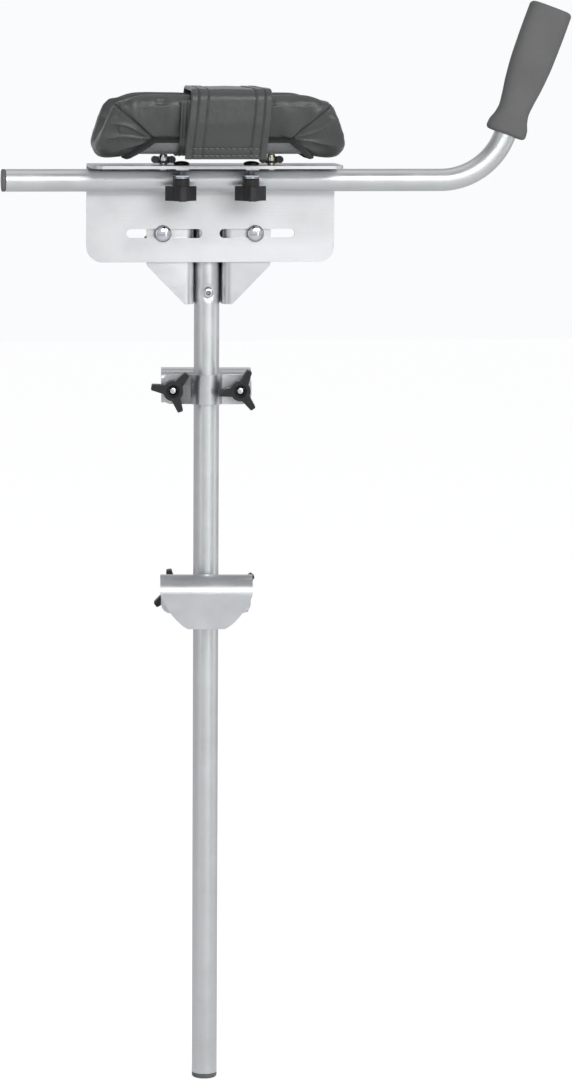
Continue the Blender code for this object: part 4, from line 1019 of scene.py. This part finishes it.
def pad_blank(inset):
    """The pad's form before it swells, from the trough's centre: a lined half-round with curved ends."""
    side_view = [(x * MM - inset * 0.7, z * MM - inset * 0.5) for x, z in PAD_END]
    side_view += [(-x, z) for x, z in reversed(side_view)]
    rim = 8.8 * MM - (PAD_OUTER - PAD_INNER) / 2
    section = half_round(PAD_INNER + inset, PAD_OUTER - inset, rim)
    half_length, beside = 130 * MM, 90 * MM
    pad = extruded("pad", [section], "X", -half_length, half_length)
    cut(pad, side_view, "Y", -beside, beside, "INTERSECT")
    below = half_round(SHELL_INNER - GAP, PAD_OUTER + 9 * MM, -MM)
    under = extruded("under", [below], "X", -half_length, half_length)
    arch = [(-ARCH_HALF_FOOT, -beside), (ARCH_HALF_FOOT, -beside), (ARCH_HALF_FOOT, ARCH_FOOT),
            (ARCH_HALF_TOP, ARCH_TOP), (-ARCH_HALF_TOP, ARCH_TOP), (-ARCH_HALF_FOOT, ARCH_FOOT)]
    cut(under, arch, "Y", -beside, beside, "INTERSECT")
    return boolean(pad, under, "DIFFERENCE")


def seam_distance(points):
    """Distance in the side view from the diagonal seam of each end, for points from the trough's centre."""
    start = np.array(SEAM_TOP)
    end = np.array((ARCH_HALF_TOP + 1 * MM, ARCH_TOP))
    along = end - start
    flat = np.stack([np.abs(points[:, 0]), points[:, 2]], axis=1) - start
    t = np.clip(flat @ along / (along @ along), 0.0, 1.0)
    away = np.linalg.norm(flat - t[:, None] * along, axis=1)
    outside = np.hypot(points[:, 1], np.minimum(points[:, 2], 0.0)) > PAD_INNER + 6 * MM
    return np.where(outside, away, 1.0)


def co_array(mesh):
    out = np.empty(len(mesh.vertices) * 3)
    mesh.vertices.foreach_get("co", out)
    return out.reshape(-1, 3)


def normal_array(mesh):
    return np.array([v.normal for v in mesh.vertices])


def swell(pad, cap):
    """Cloth under pressure, held along its seams and round the arch; no point moves more than the cap."""
    start, normals = co_array(pad.data), normal_array(pad.data)
    in_arch = (np.abs(start[:, 0]) < ARCH_HALF_FOOT) & (start[:, 2] < ARCH_TOP + 5 * MM) \
        & (np.hypot(start[:, 1], start[:, 2]) > PAD_INNER + 4 * MM)
    held = pad.vertex_groups.new(name="held")
    for i in np.nonzero(in_arch | (seam_distance(start) < 3.5 * MM))[0]:
        held.add([int(i)], 1.0, "REPLACE")
    modifier = pad.modifiers.new("cloth", "CLOTH")
    cloth = modifier.settings
    cloth.quality = 5
    cloth.mass = 0.25
    cloth.tension_stiffness = 14.0
    cloth.compression_stiffness = 14.0
    cloth.shear_stiffness = 6.0
    cloth.bending_stiffness = 0.4
    cloth.use_pressure = True
    cloth.uniform_pressure_force = 4.0
    cloth.shrink_min = -0.045
    cloth.vertex_group_mass = "held"
    cloth.effector_weights.gravity = 0.0
    modifier.collision_settings.use_collision = False
    scene = bpy.context.scene
    for step in range(1, SWELL_STEPS + 1):
        scene.frame_set(step)
    end = co_array(evaluated_mesh(pad))
    scene.frame_set(1)
    pad.modifiers.clear()
    moved = end - start
    inward = -np.sum(moved * normals, axis=1, keepdims=True)
    moved *= np.where(inward > DENT_CAP, DENT_CAP / np.maximum(inward, 1e-9), 1.0)
    length = np.linalg.norm(moved, axis=1, keepdims=True)
    moved *= np.minimum(1.0, cap / np.maximum(length, 1e-9))
    pad.data.vertices.foreach_set("co", (start + moved).ravel())
    pad.data.update()


def crease(pad):
    """Folds that run from the arch's corners, soft drapes on the sides, and pulled-in seams."""
    mesh = pad.data
    points, normals = co_array(mesh), normal_array(mesh)
    seam = seam_distance(points)
    moved = np.zeros(len(points))
    for i, (point, normal) in enumerate(zip(points, normals)):
        sideways = smooth_step(0.25, 0.75, abs(normal[1]) + 0.5 * max(0.0, abs(normal[0]) - 0.3))
        if sideways > 0.0 and point[2] < 0.002:
            dx, dz = abs(point[0]) - ARCH_HALF_TOP, point[2] - ARCH_TOP
            away = math.hypot(dx, dz)
            bearing = math.atan2(dz, dx)
            end_side = smooth_step(-4 * MM, 10 * MM, dx - dz * 0.95)
            shake = noise.noise(Vector((point[0] * 26, math.copysign(7.0, point[1]), point[2] * 26)))
            phase = bearing * 15.0 + shake * 3.2 + (2.0 if point[0] > 0 else 0.0)
            fan = 1.0 - 2.0 * abs(math.sin(phase / 2)) ** 0.8
            grow = smooth_step(3 * MM, 14 * MM, away) * (1.0 - smooth_step(32 * MM, 60 * MM, away))
            low_side = smooth_step(math.radians(62.0), math.radians(30.0), bearing)
            low_side *= smooth_step(-2.2, -1.2, bearing)
            moved[i] += 2.0 * MM * fan * grow * low_side * end_side * sideways
            drape = noise.noise(Vector((point[0] * 75 + 3.1, math.copysign(3.0, point[1]), point[2] * 16)))
            moved[i] += 2.8 * MM * (drape + 0.15) * (1.0 - end_side) * sideways
        moved[i] += 0.3 * MM * noise.noise(Vector(point) * 45.0)
    moved -= 1.3 * MM * np.exp(-(seam / (1.3 * MM)) ** 2)
    moved += 0.4 * MM * np.exp(-((seam - 3.6 * MM) / (1.8 * MM)) ** 2)
    points = clear_of_shell(points + normals * moved[:, None], normals)
    mesh.vertices.foreach_set("co", points.ravel())
    dark = mesh.attributes.new("seam", "FLOAT", "POINT")
    dark.data.foreach_set("value", np.exp(-(seam / (0.9 * MM)) ** 2).astype(np.float32))
    mesh.update()


def clear_of_shell(points, normals):
    """Keeps the vinyl off the shell's two faces, and inside the shell where the arch leaves it bare."""
    radius = np.hypot(points[:, 1], points[:, 2])
    along = np.abs(points[:, 0])
    beside = (along < SHELL_HALF_LENGTH + MM) & (points[:, 2] < -3 * MM)
    outer = beside & (normals[:, 1] * points[:, 1] + normals[:, 2] * points[:, 2] > 0.0)
    wanted = np.where(outer, np.maximum(radius, SHELL_CLEAR), radius)
    wanted = np.where(outer & (along < STRAP_REACH), np.minimum(wanted, PAD_OUTER), wanted)
    wanted = np.where(beside & ~outer, np.minimum(radius, SHELL_INNER - 0.6 * MM), wanted)
    points[:, 1:] *= (wanted / np.maximum(radius, 1e-6))[:, None]
    radius = np.hypot(points[:, 1], points[:, 2])
    arch_top = np.interp(along, [ARCH_HALF_TOP, ARCH_HALF_FOOT], [ARCH_TOP, ARCH_FOOT])
    bare = (points[:, 2] < arch_top) & (radius > SHELL_INNER - GAP) & (along < ARCH_HALF_FOOT)
    points[:, 1:] *= np.where(bare, (SHELL_INNER - GAP) / np.maximum(radius, 1e-6), 1.0)[:, None]
    return points


def build_pad():
    """Upholstered pad: remeshed, swelled as cloth, subdivided, then creased and seamed."""
    pad = pad_blank(1.3 * MM)
    remesh = pad.modifiers.new("remesh", "REMESH")
    remesh.mode = "VOXEL"
    remesh.voxel_size = 4.0 * MM
    applied(pad)
    relax(pad.data, 3)
    swell(pad, 4.0 * MM)
    relax(pad.data, 4)
    refined(pad)
    relax(pad.data, 2)
    crease(pad)
    pad.data.transform(Matrix.Translation(TROUGH))
    pad.data.shade_smooth()
    show(pad, "trough_pad_upholstered", "vinyl", "trough_pad")
    for sign in (-1, 1):
        build_binding(sign)


def refined(obj, kind="CATMULL_CLARK"):
    modifier = obj.modifiers.new("refine", "SUBSURF")
    modifier.subdivision_type = kind
    modifier.levels = 2
    modifier.render_levels = 2
    return applied(obj)


def relax(mesh, rounds):
    """Moves every point half way to the middle of its neighbours."""
    model = bmesh.new()
    model.from_mesh(mesh)
    for _ in range(rounds):
        bmesh.ops.smooth_vert(model, verts=model.verts, factor=0.5,
                              use_axis_x=True, use_axis_y=True, use_axis_z=True)
    from_bmesh(model, mesh)
    mesh.update()


def build_binding(sign):
    """Black binding along the pad's arched edge, on the near or the far side."""
    radius, half_width, half_thick = 54.6 * MM, 2.7 * MM, 1.7 * MM
    drop = 2.3 * MM
    right = [(ARCH_HALF_TOP + 0.5 * MM, ARCH_TOP - drop), (ARCH_HALF_FOOT + MM, ARCH_FOOT - drop + 3 * MM)]
    corners = [(-x, z) for x, z in reversed(right)] + right
    centres = []
    for x, z in resampled(filleted(corners, [0.0, 7 * MM, 7 * MM, 0.0], steps=10), 2.5 * MM):
        z = max(z, -radius * 0.985)
        centres.append(Vector((x, sign * math.sqrt(radius ** 2 - z ** 2), z)))
    rings = []
    for i, centre in enumerate(centres):
        tangent = (centres[min(i + 1, len(centres) - 1)] - centres[max(i - 1, 0)]).normalized()
        outward = Vector((0.0, centre.y, centre.z)).normalized()
        across = tangent.cross(outward).normalized()
        pucker = 0.12 * MM * math.sin(i * 2.1)
        foot = smooth_step(ARCH_HALF_TOP - 4 * MM, ARCH_HALF_TOP + 6 * MM, abs(centre.x))
        wide, thick = half_width + 0.5 * MM * foot, half_thick + 1.3 * MM * foot + pucker
        rings.append([centre + TROUGH + across * (wide * u) + outward * (thick * v)
                      for u, v, _ in superellipse(1.0, 1.0, 0.0, 0.62, 20)])
    side = "near" if sign < 0 else "far"
    binding = loft(f"pad_binding_{side}", rings)
    binding.data.materials.append(MATERIALS["binding"])
    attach(binding, BODY_OF["trough_pad"])


def resampled(path, spacing):
    """The same open path with evenly spaced points."""
    points = [Vector(p) for p in path]
    lengths = [0.0]
    for a, b in zip(points, points[1:]):
        lengths.append(lengths[-1] + (b - a).length)
    count = max(2, int(lengths[-1] / spacing))
    out, k = [], 0
    for i in range(count + 1):
        target = lengths[-1] * i / count
        while k < len(points) - 2 and lengths[k + 1] < target:
            k += 1
        share = (target - lengths[k]) / max(lengths[k + 1] - lengths[k], 1e-9)
        out.append(tuple(points[k].lerp(points[k + 1], min(1.0, share))))
    return out


def build_trough_fasteners():
    for side in SIDES:
        low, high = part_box(f"trough_spacer_{side}")
        centre = (low + high) / 2
        radius = (high.x - low.x) / 2
        section = filleted(rectangle((SCREW_HOLE, low.z), (radius, high.z)), [0.3 * MM] * 4,
                           closed=True, steps=4)
        place = Matrix.Translation((centre.x, centre.y, 0.0))
        spacer = turned("spacer", section[::-1], closed=True, matrix=place)
        metal = "zinc" if side == "left" else "spacer"
        show(spacer, f"trough_spacer_{side}_turned", metal, f"trough_spacer_{side}")

        wing = wing_nut(radius)
        wing.data.transform(Matrix.Translation(box_centre(f"trough_wing_nut_{side}")))
        show(wing, f"trough_wing_nut_{side}_moulded", "knob", f"trough_wing_nut_{side}")

        low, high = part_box(f"trough_screw_{side}")
        head_height = 2.4 * MM
        seat = Vector(((low.x + high.x) / 2, (low.y + high.y) / 2, low.z + head_height))
        screw = dome_bolt("screw", POST_SCREW, 4.4 * MM, head_height, high.z - seat.z - TIP_GAP,
                          SCREW_PITCH, axis_frame(seat, (0, 0, -1)), socket=1.7 * MM)
        show(screw, f"trough_screw_{side}_turned", "zinc", f"trough_screw_{side}")


def wing_nut(spacer):
    """Two round ears on a low collar, open towards the viewer round a spacer of the given radius."""
    ear, reach, thick = 3.6 * MM, 8.4 * MM, 5.0 * MM
    collar_radius, beyond = 6.2 * MM, 9 * MM
    top, bottom = -ear + 2.4 * MM, -ear + 0.1 * MM
    ears = arc((reach, 0.0), ear, -120.0, 120.0, 14) + arc((-reach, 0.0), ear, 60.0, 300.0, 14)
    wing = extruded("wing", [ears], "Y", -thick / 2, thick / 2)
    collar = [(0.0, top), (collar_radius, top), (collar_radius, bottom), (0.0, bottom)]
    boolean(wing, turned("collar", collar, steps=40), "UNION")
    bore = [(0.0, beyond), (spacer + 0.8 * MM, beyond), (spacer + GAP, -beyond), (0.0, -beyond)]
    boolean(wing, turned("bore", bore, steps=40), "DIFFERENCE")
    cut(wing, rectangle((-5.2 * MM, top), (5.2 * MM, beyond)), "Y", -beyond, 0.0)
    return round_edges(wing, 1.0 * MM, 4)


# ================================================================ strap

STITCH_PITCH = 3.3 * MM         # along the strap
CROSS_PITCH = 5.4 * MM          # across it


def straight(share):
    return 0.0, 0.0


def strap_sheet(path, x_low, x_high, thickness, hems, rows, height, edges=straight):
    """A sewn strap: its section across X follows a path of (y, z) points.

    hems are stitch lines along the strap at a distance from its left edge, rows are stitch lines
    across it at a distance from its end, height(u, v) is an extra lift of its outer face, and edges says
    how far its left and right edges draw in along it.
    """
    spacing, columns = 1.6 * MM, 96
    points = resampled(path, spacing)
    total = spacing * (len(points) - 1)
    width = x_high - x_low
    rings = []
    for i, point in enumerate(points):
        here = Vector(point)
        ahead = Vector(points[min(i + 1, len(points) - 1)]) - Vector(points[max(i - 1, 0)])
        tangent = ahead.normalized()
        outward = Vector((tangent.y, -tangent.x))
        along = total * i / (len(points) - 1)
        ring = []
        for k in range(columns + 1):
            u = width * (0.5 - 0.5 * math.cos(math.pi * k / columns)) * 0.35 + width * k / columns * 0.65
            lift = thickness / 2 + height(u, along)
            for line in hems:
                lift -= 0.9 * MM * math.exp(-((u - line) / (0.8 * MM)) ** 2)
            for row in rows:
                if 4 * MM < u < width - 6 * MM:
                    lift -= 0.8 * MM * math.exp(-((total - along - row) / (0.9 * MM)) ** 2)
            lift *= math.sqrt(min(1.0, 0.15 + min(u, width - u) / (1.4 * MM)))
            lift *= math.sqrt(min(1.0, 0.2 + min(along, total - along) / (1.6 * MM)))
            p = here + outward * lift
            ring.append((narrowed(x_low, width, u, along / total, edges), p.x, p.y))
        for k in range(columns, -1, -4):
            u = width * k / columns
            drop = thickness / 2 * math.sqrt(min(1.0, 0.15 + min(u, width - u) / (1.4 * MM)))
            p = here - outward * drop
            ring.append((narrowed(x_low, width, u, along / total, edges), p.x, p.y))
        rings.append(ring)
    return loft("strap", rings, smooth_angle=60.0)


def narrowed(x_low, width, u, share, edges):
    """Where a point u from the left edge lies when edges(share) draws the strap's two edges in."""
    left, right = edges(share)
    return x_low + left + u / width * (width - left - right)


def stitches(path, x_low, width, line, thickness, edges):
    """A row of thread stitches along a (y, z) path, lying in the sunk line at a distance from its edge."""
    points = resampled(path, STITCH_PITCH)
    count = len(points) - 1
    pieces = []
    for i in range(1, count):
        a, b = points[i], points[i + 1]
        start = Vector((narrowed(x_low, width, line, i / count, edges), a[0], a[1]))
        end = Vector((narrowed(x_low, width, line, (i + 1) / count, edges), b[0], b[1]))
        tangent = (end - start).normalized()
        outward = Vector((0.0, tangent.z, -tangent.y))
        lift = outward * (thickness / 2 - 0.1 * MM)
        pieces.append(stitch(start.lerp(end, 0.12) + lift, start.lerp(end, 0.84) + lift, outward, 0.45 * MM))
    return joined("row", pieces)


def stitch(start, end, outward, thread):
    """One short arched thread; thread is its radius at the middle."""
    across = (end - start).normalized().cross(outward)
    rings = []
    for i in range(7):
        t = i / 6
        radius = thread * math.sin(math.pi * (0.08 + 0.84 * t)) ** 0.5
        centre = start.lerp(end, t) + outward * thread * 0.5 * math.sin(math.pi * t)
        rings.append([centre + across * radius * math.cos(a) + outward * radius * math.sin(a)
                      for a in (2 * math.pi * k / 8 for k in range(8))])
    return loft("stitch", rings)


def build_flap():
    """The flap that closes over the arm, with hems and stitching."""
    hinge = Vector(JOINTS["strap_open"]["pos_m"])
    low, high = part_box("strap_flap")
    thickness = 3.0 * MM
    near_y, top_z = low.y + thickness / 2, high.z - thickness / 2
    corners = [(hinge.y, hinge.z - MM), (hinge.y, top_z), (near_y, top_z), (near_y, hinge.z - 12 * MM),
               (near_y + 8 * MM, low.z + 0.5 * MM)]
    path = filleted(corners, [0.0, 10 * MM, 9 * MM, 30 * MM, 0.0], steps=12)
    width = high.x - low.x
    lines = (7.6 * MM, 16.8 * MM, width - 15.7 * MM, width - 6.7 * MM)
    rows = (4.4 * MM, 11.4 * MM)

    def flap_edges(share):
        """The left edge draws in behind the arm and both edges lean left in front of it."""
        left = smooth_profile([(0.0, 8.8), (0.12, 8.7), (0.45, 5.0), (0.68, 2.5), (1.0, -2.8)], share)
        right = smooth_profile([(0.0, 0.0), (0.12, -0.1), (0.45, -1.5), (0.68, -2.2), (1.0, 1.9)], share)
        return left * MM, right * MM

    def flap_height(u, v):
        hem = smooth_step(18.2 * MM, 16.2 * MM, u) + smooth_step(width - 17.0 * MM, width - 14.5 * MM, u)
        sag = noise.noise(Vector((u * 42, v * 30, 0.7))) * 0.5 * MM
        pucker = noise.noise(Vector((u * 260, v * 190, 4.2))) * 0.16 * MM
        return 0.55 * MM * hem + sag + pucker

    flap = strap_sheet(path, low.x, high.x, thickness, lines, rows, flap_height, flap_edges)
    flap.name = "strap_flap_sewn"
    flap.data.materials.append(MATERIALS["strap_vinyl"])
    threads = []
    for line, hem_lift in zip(lines, (0.5 * MM, 0.2 * MM, 0.2 * MM, 0.5 * MM)):
        threads.append(stitches(path, low.x, width, line, thickness + hem_lift, flap_edges))
    sunk_faces = sum(len(row.data.polygons) for row in threads)
    for row in rows:
        threads.append(cross_stitches(path, row, low.x + 4.3 * MM, high.x - 9.0 * MM, thickness + 0.4 * MM))
    thread = joined("strap_flap_stitching", threads)
    shade(thread, 60.0)
    thread.data.materials.append(MATERIALS["strap_vinyl"])
    thread.data.materials.append(MATERIALS["thread"])
    for face in list(thread.data.polygons)[sunk_faces:]:
        face.material_index = 1
    for piece in (flap, thread):
        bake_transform(piece)
    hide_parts("strap_flap")


def build_strap():
    """The strap under the shell: close to the shell in the arch, over the pad beside it."""
    low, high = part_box("arm_strap")
    width = high.x - low.x
    path = []
    steps = 60
    thickness = 1.5 * MM
    for i in range(steps + 1):
        angle = -180.0 * i / steps
        over_pad = smooth_step(26.0, 48.0, abs(angle + 90.0))
        radius = SHELL_OUTER + GAP + thickness / 2 + (PAD_OUTER - SHELL_OUTER) * over_pad
        bearing = math.radians(angle)
        path.append((TROUGH.y + radius * math.cos(bearing), TROUGH.z + radius * math.sin(bearing)))
    path[0] = (path[0][0], TROUGH.z - 4 * MM)
    path.append((path[-1][0], TROUGH.z + 2 * MM))

    def strap_height(u, v):
        hem = smooth_step(7.5 * MM, 6.5 * MM, u) + smooth_step(width - 7.5 * MM, width - 6.5 * MM, u)
        return 0.4 * MM * hem + noise.noise(Vector((u * 70, v * 45, 9.0))) * 0.3 * MM

    lines = (2.6 * MM, 6.2 * MM, width - 6.2 * MM, width - 2.6 * MM)
    strap = strap_sheet(path[::-1], low.x, high.x, thickness, lines, (), strap_height)
    show(strap, "arm_strap_sewn", "strap_vinyl", "arm_strap")


def cross_stitches(path, from_end, x_low, x_high, thickness):
    """A row of stitches across the strap, at a distance from its lower end."""
    points = resampled(path, 1.0 * MM)
    k = len(points) - 1 - round(from_end / MM)
    here, ahead = Vector(points[k]), Vector(points[k + 1])
    tangent = (ahead - here).normalized()
    outward = Vector((0.0, tangent.y, -tangent.x))
    count = round((x_high - x_low) / CROSS_PITCH)
    base = Vector((0.0, here.x, here.y)) + outward * (thickness / 2 - 0.1 * MM)
    length, lean = 4.0 * MM, Vector((0.0, tangent.x, tangent.y)) * 0.45 * MM
    pieces = []
    for i in range(count):
        start = base + Vector((x_low + (x_high - x_low) * i / count, 0.0, 0.0))
        end = start + Vector((length, 0.0, 0.0))
        pieces.append(stitch(start - lean, end + lean, outward, 0.7 * MM))
    return joined("row", pieces)


def build_patches():
    """Loop patch on the strap and hook patch inside the flap: dense pile on a backing."""
    for node, inset in (("strap_loop_patch", 0.12 * MM), ("strap_hook_patch", 0.05 * MM)):
        obj = placed("patch", frame["nodes"][node].data.copy())
        round_edges(obj, 0.25 * MM, 2, 50.0)
        refined(obj, "SIMPLE")
        points, normals = co_array(obj.data), normal_array(obj.data)
        lift = np.array([noise.noise(Vector(p) * 900.0) for p in points]) * inset
        obj.data.vertices.foreach_set("co", (points + normals * lift[:, None]).ravel())
        obj.data.update()
        show(obj, node + "_pile", "pile", node)


# ================================================================ clamps

def clamp_frame(kind):
    """The clamp's own frame: on the post's axis at the height of its bolts, its saddle towards -Y."""
    joint = JOINTS[f"{kind}_knob_turn_left"]
    axis = joint["axis"]
    turn = math.atan2(axis[0], -axis[1])
    return Matrix.Translation((0.0, 0.0, joint["pos_m"][2])) @ Matrix.Rotation(turn, 4, "Z")


SADDLE_HALF_WIDTH = 45.1 * MM
SADDLE_HALF_HEIGHT = box_size("upper_post_saddle").z / 2
SADDLE_BACK = -2.0 * MM
HOOK_FACE = 13.0 * MM
CLAMP_BOLT_SPACING = 67.2 * MM


def finish_clamp_plate(plate, kind, name, node):
    """Drills and rounds a clamp's plate and sets it in place."""
    for sign in (-1, 1):
        hole = circle((sign * CLAMP_BOLT_SPACING / 2, 0.0), LARGE_BOLT + GAP)
        cut(plate, hole, "Y", -12 * MM, 22 * MM)
    round_edges(plate)
    plate.data.transform(clamp_frame(kind))
    show(plate, name, "clamp", node)


def build_saddle(kind):
    """Pressed plate that bulges round the post."""
    middle = SADDLE_BACK - SHEET / 2
    radius = POST_RADIUS + GAP + SHEET / 2
    start = math.degrees(math.asin(-middle / radius))
    bulge = arc((0.0, 0.0), radius, 180.0 + start, 360.0 - start, 40)
    neck = 1.6 * MM     # the sheet turns out of the bulge in a small radius
    left, right = bulge[0], bulge[-1]
    path = [(-SADDLE_HALF_WIDTH - MM, middle), (left[0] - neck, middle)] + bulge[1:-1] \
        + [(right[0] + neck, middle), (SADDLE_HALF_WIDTH + MM, middle)]
    height = SADDLE_HALF_HEIGHT
    saddle = extruded("saddle", [strip(path, SHEET)], "Z", -height - MM, height + MM)
    face = rectangle((-SADDLE_HALF_WIDTH, -height), (SADDLE_HALF_WIDTH, height))
    cut(saddle, filleted(face, [10 * MM] * 4, closed=True, steps=12), "Y", -BEYOND, BEYOND, "INTERSECT")
    node = kind.replace("clamp", "post_saddle")
    finish_clamp_plate(saddle, kind, f"{kind}_post_saddle_pressed", node)


def build_upper_hook():
    """Square hook, open downwards."""
    inside = HOOK_FACE + SHEET / 2
    outside = HOOK_FACE + 38 * MM - SHEET / 2
    top, lip = 17.9 * MM - SHEET / 2, -8.0 * MM
    corners = [(inside, -SADDLE_HALF_HEIGHT), (inside, top), (outside, top), (outside, lip)]
    path = filleted(corners, [0.0, 8.1 * MM, 8.1 * MM, 0.0], steps=16)
    hook = extruded("hook", [strip(path, SHEET)], "X", -SADDLE_HALF_WIDTH, SADDLE_HALF_WIDTH)
    finish_clamp_plate(hook, "upper_clamp", "upper_rail_hook_bent", "upper_rail_hook")


def build_lower_hook():
    """Round hood that ends in a long tapered tongue."""
    inside = HOOK_FACE + SHEET / 2
    hood_radius, hood_z, bottom, tongue_bottom = 18.6 * MM, 5.4 * MM, -17.5 * MM, -28.5 * MM
    radius, centre_y = hood_radius - SHEET / 2, HOOK_FACE + hood_radius
    half = SADDLE_HALF_WIDTH
    hood = arc((centre_y, hood_z), radius, 180.0, 0.0, 40)
    path = [(inside, bottom)] + hood + [(centre_y + radius, tongue_bottom)]
    hook = extruded("hook", [strip(path, SHEET)], "X", -half - MM, half + MM)
    above = hood_z + hood_radius + MM
    plate = filleted(rectangle((-half, bottom), (half, above)), [10 * MM, 10 * MM, 0.0, 0.0],
                     closed=True, steps=12)
    outlines = extruded("outlines", [plate], "Y", 0.0, centre_y + MM)
    shoulder, foot, curve = 7.0 * MM, 18.0 * MM, 1.5
    tongue = [(half + MM, above)]
    steps = 32
    for i in range(steps + 1):
        angle = math.pi / 2 * i / steps
        tongue.append((foot + (half + MM - foot) * math.cos(angle) ** curve,
                       shoulder - (shoulder - tongue_bottom) * math.sin(angle) ** curve))
    tongue += [(-x, z) for x, z in reversed(tongue)]
    cut(outlines, tongue, "Y", centre_y, 90 * MM, "UNION")
    boolean(hook, outlines, "INTERSECT")
    finish_clamp_plate(hook, "lower_clamp", "lower_rail_hook_bent", "lower_rail_hook")


# ================================================================ studio

def build_stage():
    """A wide pale floor."""
    reach, depth = 9.0, 0.4 * MM
    corners = [(x, y, -depth) for x, y in rectangle((-reach, -reach), (reach, reach))]
    mesh = bpy.data.meshes.new("floor")
    mesh.from_pydata(corners, [], [(0, 1, 2, 3)])
    floor = placed("floor", mesh)
    n = Nodes("pale_floor")
    n.set("Base Color", (0.74, 0.74, 0.745, 1.0))
    n.set("Roughness", 0.9)
    n.set("Emission Color", (1.0, 1.0, 1.0, 1.0))
    ray = n.add("ShaderNodeLightPath").outputs
    seen = n.math("MULTIPLY", ray["Is Camera Ray"], 0.7)
    mirrored = n.math("MULTIPLY", ray["Is Glossy Ray"], 0.16)
    n.set("Emission Strength", n.math("ADD", seen, mirrored))
    floor.data.materials.append(n.material)


def area_light(name, location, size, power):
    target = Vector((0.0, 0.0, 0.62))
    light = bpy.data.lights.new(name, "AREA")
    light.shape = "RECTANGLE"
    light.size, light.size_y = size
    light.energy = power
    obj = placed(name, light)
    obj.location = location
    obj.rotation_euler = (target - Vector(location)).to_track_quat("-Z", "Y").to_euler()


def build_light():
    """Soft boxes above, left and right, in a bright tent."""
    area_light("key", (0.7, -2.9, 2.1), (2.4, 0.95), 36.0)
    area_light("overhead", (0.0, 0.2, 3.2), (2.4, 2.0), 8.0)
    area_light("left_box", (-2.8, -1.8, 1.2), (1.0, 2.4), 5.0)
    area_light("strip", (1.1, -2.7, 0.45), (0.42, 1.7), 2.6)
    area_light("right_box", (2.7, -0.5, 0.8), (0.9, 1.8), 3.5)
    world = bpy.data.worlds.new("tent")
    bpy.context.scene.world = world
    world.use_nodes = True
    sky = Tree(world.node_tree)
    heading = sky.add("ShaderNodeTexCoord").outputs["Generated"]
    parts = sky.add("ShaderNodeSeparateXYZ", {"Vector": heading}).outputs
    across = sky.span(parts["X"], -1.0, 1.0, 0.0, 1.0)
    ramp = sky.add("ShaderNodeValToRGB", {"Fac": across})
    # dim to the left and right, brighter ahead and behind
    stops = ramp.color_ramp.elements
    for place in (0.40, 0.66):
        stops.new(place)
    for stop, place, level in zip(stops, (0.05, 0.40, 0.66, 0.95), (0.41, 0.73, 0.75, 0.58)):
        stop.position, stop.color = place, (level, level, level, 1.0)
    # dimmer overhead; plain white where the camera sees it
    dimmed = sky.math("MULTIPLY", ramp.outputs["Color"], sky.span(parts["Z"], 0.3, 0.8, 1.0, 0.38))
    seen = sky.add("ShaderNodeLightPath").outputs["Is Camera Ray"]
    background = sky.tree.nodes["Background"]
    background.inputs["Color"].default_value = (0.955, 0.965, 0.98, 1.0)
    sky.tree.links.new(sky.math("MAXIMUM", dimmed, seen), background.inputs["Strength"])


def build_camera():
    """The viewing angle of a low, slightly left studio shot with a long lens."""
    azimuth, elevation, roll = math.radians(-8.0), math.radians(7.3), math.radians(0.313)
    distance, lens = 4.5, 148.7
    right, up = 5.5 * MM, 4.7 * MM      # how far the camera aims off the object's middle
    low, high = CAD_BOX
    target = Vector(((low.x + high.x) / 2 + right, 0.0, (low.z + high.z) / 2 + up))
    back = Vector((math.sin(azimuth) * math.cos(elevation), -math.cos(azimuth) * math.cos(elevation),
                   math.sin(elevation)))
    data = bpy.data.cameras.new("camera")
    data.sensor_width = 36.0
    data.lens = lens
    camera = placed("camera", data)
    camera.location = target + back * distance
    aim = (-back).to_track_quat("-Z", "Y").to_matrix().to_4x4()
    turn = aim @ Matrix.Rotation(roll, 4, "Z")
    camera.rotation_euler = turn.to_euler()
    bpy.context.scene.camera = camera


build_post()
build_post_cap()
build_bracket()
build_post_screws()
build_plate()
build_knob_sets()
build_clips()
build_handle()
build_shell()
build_pad()
build_trough_fasteners()
build_flap()
build_strap()
build_patches()
for clamp in ("upper_clamp", "lower_clamp"):
    build_saddle(clamp)
build_upper_hook()
build_lower_hook()
build_stage()
build_light()
build_camera()
bpy.context.scene.view_settings.view_transform = "Standard"
